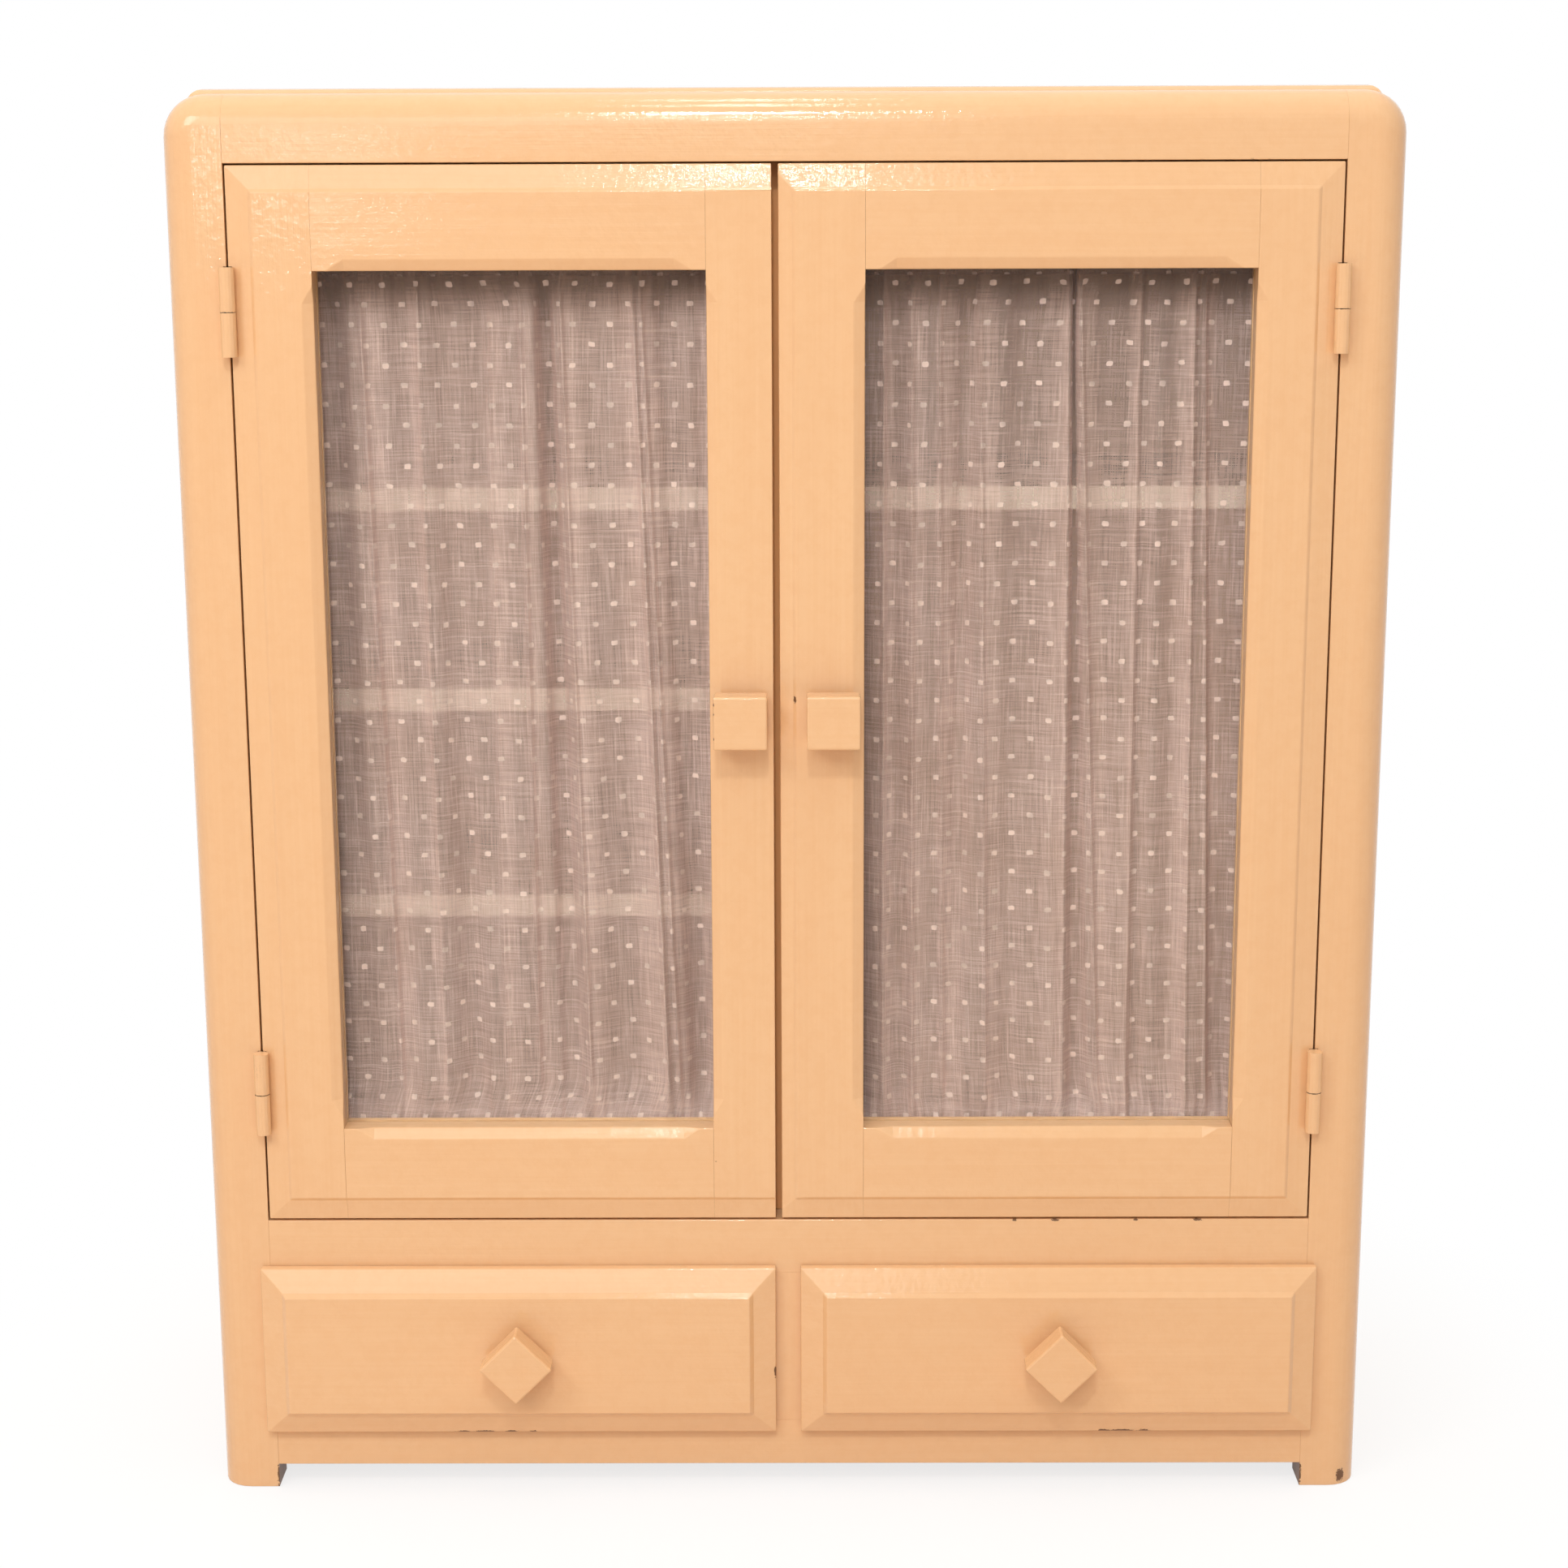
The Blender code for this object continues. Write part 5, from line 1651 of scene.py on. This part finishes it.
LEFT_PLEATS = (
    hollow(0.060, 0.070, 0.050, 0.0034),
    crease(0.134, 0.178, 0.0018, 0.060),
    crease(0.268, 0.292, 0.0010, -0.030),
    hollow(0.330, 0.350, 0.040, 0.0032),
    crease(0.430, 0.440, 0.0010, 0.040),
    hollow(0.455, 0.480, 0.022, 0.0014),
    crease(0.512, 0.520, 0.0016, 0.030),
    # Negative layers thin the cloth so that the dark inside shows through, as painted shade in the deep
    # folds.
    Pleat((0.564, 0.606), (0.018, 0.028), (-0.0052, -0.0026), crisp=4.0, layer=-0.36),
    crease(0.604, 0.652, 0.0020, 0.050),
    hollow(0.690, 0.750, 0.034, 0.0026),
    crease(0.775, 0.845, 0.0020, -0.070),
    crease(0.792, 0.872, 0.0016, 0.036),
    Pleat((0.860, 0.925), (0.036, 0.026), (-0.0044, -0.0052), crisp=3.0, layer=-0.16),
    crease(0.955, 0.964, 0.0014, -0.030),
)

RIGHT_PLEATS = (
    hollow(0.040, 0.030, 0.036, 0.0030),
    crease(0.092, 0.096, 0.0018, 0.030),
    hollow(0.125, 0.135, 0.024, 0.0034),
    crease(0.157, 0.168, 0.0018, 0.040),
    crease(0.222, 0.246, 0.0016, 0.050),
    hollow(0.295, 0.268, 0.024, 0.0036),
    crease(0.318, 0.354, 0.0016, 0.045),
    hollow(0.410, 0.412, 0.026, 0.0026),
    crease(0.528, 0.545, 0.0014, -0.060),
    # Negative layers thin the cloth as painted shade: over the top of this curtain, less towards the foot,
    # and in the deep folds.
    Pleat((0.500, 0.500), (0.700, 0.700), (0.0, 0.0), layer=-0.40),
    Pleat((0.540, 0.585), (0.005, 0.026), (-0.0030, -0.0056), crisp=4.0, layer=-0.62),
    crease(0.552, 0.634, 0.0024, 0.045),
    hollow(0.720, 0.722, 0.022, 0.0028),
    crease(0.700, 0.702, 0.0012, -0.030),
    crease(0.826, 0.850, 0.0018, -0.050),
    crease(0.850, 0.905, 0.0020, 0.030),
    Pleat((0.895, 0.935), (0.040, 0.028), (-0.0040, -0.0050), crisp=3.0, layer=-0.12),
    crease(0.965, 0.972, 0.0014, 0.0),
)


# Studio


@dataclass(frozen=True)
class Lamp:
    """A square lamp: its place, the side of its square and its power in watts."""

    name: str
    place: Colour
    size: float
    power: float


@dataclass
class Studio:
    """White floor and background, soft lamps and the camera."""

    lamps: tuple[Lamp, ...] = (
        Lamp("key_lamp", (-0.08, -2.50, 2.80), 0.24, 22.0),
        Lamp("far_lamp", (-0.08, -3.00, 2.08), 0.14, 4.4),
        Lamp("upper_lamp", (-0.06, -0.75, 2.62), 0.20, 1.8),
        Lamp("high_lamp", (-0.055, 0.05, 2.65), 0.20, 1.5),
        Lamp("left_lamp", (-1.20, -1.50, 1.65), 0.70, 9.3),
        Lamp("soft_panel", (-0.80, -4.20, 2.15), 2.20, 27.0),
        Lamp("left_spark", (-0.952, -4.112, 0.882), 0.12, 1.6),
    )
    aim: Colour = (0.0, -0.1, 0.45)
    place: Colour = (0.0068, -1.7140, 0.7815)
    pitch: float = math.radians(11.93)
    yaw: float = math.radians(-0.295)
    roll: float = math.radians(-0.214)
    focal_pixels: float = 3450.0
    picture_pixels: float = 1932.0
    sensor: float = 36.0
    low_sky: float = 0.06
    high_sky: float = 1.46
    sky_start: float = 0.25
    floor_return: Colour = (0.835, 0.700, 0.572)
    floor_seen: Colour = (0.95, 0.95, 0.95)
    floor_drop: float = 0.0002
    sky_tint: Colour = (1.0, 0.93, 0.84)

    def plainly_seen(self, desk: Desk) -> Socket:
        """Share of rays that show the background itself, in view or in gloss and glass.

        Args:
            desk: Desk on the material or world that asks.

        Returns:
            One for such rays, and zero for the rays that light the object.
        """
        paths = desk.add("LightPath").outputs
        mirrored = desk.maths("MAXIMUM", paths["Is Glossy Ray"], paths["Is Transmission Ray"])
        seen = desk.maths("MAXIMUM", paths["Is Camera Ray"], mirrored)
        return desk.maths("MULTIPLY", seen, desk.maths("LESS_THAN", paths["Diffuse Depth"], 0.5))

    def floor(self) -> None:
        """Lays the floor, which keeps the shadow near the object and is white further out."""
        deselect()
        bpy.ops.mesh.primitive_grid_add(x_subdivisions=8, y_subdivisions=8, size=16.0,
                                        location=(0.0, 0.0, -self.floor_drop))
        floor = bpy.context.active_object
        floor.name = "studio_floor"
        settle(floor)
        material, desk, shader, place = new_material("studio_floor_white")
        seen = self.plainly_seen(desk)
        desk.feed(shader.inputs["Base Color"], desk.blend(seen, self.floor_return, self.floor_seen))
        shader.inputs["Roughness"].default_value = 0.9
        shader.inputs["Specular IOR Level"].default_value = 0.0
        glow = desk.add("Emission")
        white = desk.ramp(desk.vector_maths("LENGTH", place), 0.34, 0.62, 0.78, 1.0)
        mix = desk.add("MixShader")
        desk.feed(mix.inputs[0], desk.maths("MULTIPLY", white, seen))
        desk.feed(mix.inputs[1], shader.outputs[0])
        desk.feed(mix.inputs[2], glow.outputs[0])
        output = next(n for n in material.node_tree.nodes if n.type == "OUTPUT_MATERIAL")
        desk.feed(output.inputs["Surface"], mix.outputs[0])
        dress(floor, material)

    def world(self) -> None:
        """Sets the white background and the soft light from above."""
        world = bpy.data.worlds.new("studio")
        bpy.context.scene.world = world
        world.use_nodes = True
        desk = Desk(world.node_tree)
        world.node_tree.nodes.clear()
        soft = desk.add("Background")
        way = desk.add("SeparateXYZ")
        desk.feed(way.inputs[0], desk.add("TexCoord").outputs["Generated"])
        sky = desk.ramp(way.outputs["Z"], self.sky_start, 1.0, self.low_sky, self.high_sky)
        desk.feed(soft.inputs["Strength"], sky)
        white = desk.add("Background")
        soft.inputs["Color"].default_value = (*self.sky_tint, 1.0)
        white.inputs["Color"].default_value = (1.0, 1.0, 1.0, 1.0)
        mix = desk.add("MixShader")
        desk.feed(mix.inputs[0], self.plainly_seen(desk))
        desk.feed(mix.inputs[1], soft.outputs[0])
        desk.feed(mix.inputs[2], white.outputs[0])
        output = desk.add("OutputWorld")
        desk.feed(output.inputs["Surface"], mix.outputs[0])

    def hang(self, lamp: Lamp) -> None:
        """Hangs one lamp that faces the middle of the cabinet.

        Args:
            lamp: The lamp to hang.
        """
        data = bpy.data.lights.new(lamp.name, "AREA")
        data.size = lamp.size
        data.energy = lamp.power
        hung = bpy.data.objects.new(lamp.name, data)
        bpy.context.scene.collection.objects.link(hung)
        hung.location = lamp.place
        hung.visible_camera = False
        ahead = Vector(self.aim) - Vector(lamp.place)
        hung.rotation_euler = ahead.to_track_quat("-Z", "Y").to_euler()

    def camera(self) -> None:
        """Puts the camera where the photograph was taken from."""
        ahead = Vector((math.sin(self.yaw) * math.cos(self.pitch), math.cos(self.yaw) * math.cos(self.pitch),
                        -math.sin(self.pitch)))
        right = Vector((math.cos(self.yaw), -math.sin(self.yaw), 0.0))
        up = right.cross(ahead)
        right, up = (math.cos(self.roll) * right + math.sin(self.roll) * up,
                     math.cos(self.roll) * up - math.sin(self.roll) * right)
        data = bpy.data.cameras.new("camera")
        data.sensor_width = self.sensor
        data.lens = self.focal_pixels / self.picture_pixels * self.sensor
        camera = bpy.data.objects.new("camera", data)
        bpy.context.scene.collection.objects.link(camera)
        turn = Matrix((right, up, -ahead)).transposed().to_4x4()
        camera.matrix_world = Matrix.Translation(self.place) @ turn
        bpy.context.scene.camera = camera

    def build(self) -> None:
        """Sets up the whole studio."""
        bpy.context.scene.view_settings.view_transform = "Standard"
        self.floor()
        self.world()
        for lamp in self.lamps:
            self.hang(lamp)
        self.camera()


def make_finishes() -> dict[str, bpy.types.Material]:
    """Builds every finish of the cabinet.

    Returns:
        The materials by the names that the sub-assemblies use.
    """
    rail_chips = tuple(Chip((x, FRONT_Y, 0.1733), (0.0016 + 0.0010 * (i % 2), 0.003, 0.0007))
                       for i, x in enumerate((0.137, 0.1615, 0.210, 0.247)))
    hinge_lines = tuple(Chip((0.31375 * side.value, -0.117, z), (0.0065, 0.009, 0.00035))
                        for side in Side for z in (0.7165, 0.2557))
    left_knob_chips = tuple(Chip((-0.0419, -0.140, z), (0.0009, 0.006, 0.0011))
                            for z in (0.4945, 0.489, 0.4745))
    stile_chips = (Chip((0.0050, -0.116, 0.4935), (0.0008, 0.003, 0.0024)),)
    drawer_chips = (Chip((-0.0078, -0.118, 0.078), (0.0010, 0.004, 0.0040)),
                    *(Chip((x, -0.118, 0.0392), (half, 0.004, 0.0011))
                      for x, half in ((-0.199, 0.0050), (-0.186, 0.0075), (-0.170, 0.0045),
                                      (-0.156, 0.0030))))
    lip_chips = tuple(Chip((x, -0.118, 0.0394), (half, 0.004, 0.0012))
                      for x, half in ((0.193, 0.0045), (0.204, 0.0070), (0.217, 0.0040)))
    # Painted shade on the inner faces of both feet, drawn as dark bare patches.
    shaded_inner_foot = {side: Chip((0.3140 * side.value, -0.100, 0.0070), (0.0018, 0.040, 0.0095))
                  for side in Side}
    foot_chips = (Chip((0.3400, -0.110, 0.0060), (0.0030, 0.006, 0.0045)), shaded_inner_foot[Side.RIGHT])
    diamond_chips = (Chip((-0.1432, -0.140, 0.0895), (0.0012, 0.010, 0.0012)),)
    plans = {
        "level_paint": BrushedPaint("peach_paint_level", Strokes.LEVEL),
        "upright_paint": BrushedPaint("peach_paint_upright", Strokes.UPRIGHT),
        "left_post_paint": BrushedPaint("peach_paint_left_post", Strokes.UPRIGHT,
                                        chips=(shaded_inner_foot[Side.LEFT],)),
        "right_post_paint": BrushedPaint("peach_paint_right_post", Strokes.UPRIGHT, chips=foot_chips),
        "rail_paint": BrushedPaint("peach_paint_middle_rail", Strokes.LEVEL, chips=rail_chips),
        "hinge_paint": BrushedPaint("peach_paint_hinges", Strokes.UPRIGHT, bare=(0.16, 0.10, 0.06), wear=0.2,
                                    chips=hinge_lines),
        "left_stile_paint": BrushedPaint("peach_paint_left_stile", Strokes.UPRIGHT),
        "right_stile_paint": BrushedPaint("peach_paint_right_stile", Strokes.UPRIGHT, chips=stile_chips),
        "left_knob_paint": BrushedPaint("peach_paint_left_knob", Strokes.LEVEL, chips=left_knob_chips),
        "right_knob_paint": BrushedPaint("peach_paint_right_knob", Strokes.LEVEL),
        "left_drawer_paint": BrushedPaint("peach_paint_left_drawer", Strokes.LEVEL, chips=drawer_chips),
        "right_drawer_paint": BrushedPaint("peach_paint_right_drawer", Strokes.LEVEL, chips=lip_chips),
        "left_drawer_knob_paint": BrushedPaint("peach_paint_left_diamond", Strokes.LEVEL,
                                               chips=diamond_chips),
        "right_drawer_knob_paint": BrushedPaint("peach_paint_right_diamond", Strokes.LEVEL),
        "inside_paint": InsidePaint(),
        # Painted bounce light: the partition is a strong orange so that the narrow gap between the doors
        # shows the warm light that bounces in it.
        "partition_paint": InsidePaint("inside_paint_yellowed", Strokes.UPRIGHT, (0.96, 0.50, 0.20),
                                       (0.86, 0.40, 0.14), (0.30, 0.14, 0.06), dirt_share=0.0),
        "deep_wood": SawnWood("sawn_wood_deep", Strokes.DEEP),
        "level_wood": SawnWood("sawn_wood_level", Strokes.LEVEL),
        "back_plywood": SawnWood("plywood_browned", Strokes.UPRIGHT, (0.36, 0.21, 0.105),
                                 (0.19, 0.10, 0.045),
                                 13.0, nailed=True),
        "plywood": SawnWood("plywood_face", Strokes.UPRIGHT, (0.52, 0.33, 0.17), (0.38, 0.215, 0.095), 11.0),
        "glass": WindowGlass(),
        "cloth": DottedVoile(),
        "steel": DrawnWire("screw_steel", (0.42, 0.38, 0.33), (0.17, 0.11, 0.07)),
        "wire": DrawnWire("curtain_wire_brass", (0.60, 0.45, 0.20), (0.30, 0.20, 0.09)),
    }
    return {name: finish.make() for name, finish in plans.items()}


def main() -> None:
    """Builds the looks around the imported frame."""
    logging.basicConfig(level=logging.INFO, format="%(name)s: %(message)s")
    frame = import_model()
    finishes = make_finishes()
    boards = SoftBoards(frame)
    Case(boards, finishes).build()
    Hinges(frame, finishes).build()
    for side in Side:
        Door(side, frame, boards, finishes).build()
        Drawer(side, frame, boards, finishes).build()
    Fasteners(finishes).build()
    Curtain(Side.LEFT, LEFT_PLEATS, finishes["cloth"], 3).build()
    Curtain(Side.RIGHT, RIGHT_PLEATS, finishes["cloth"], 8).build()
    Studio().build()


if __name__ == "__main__":
    main()
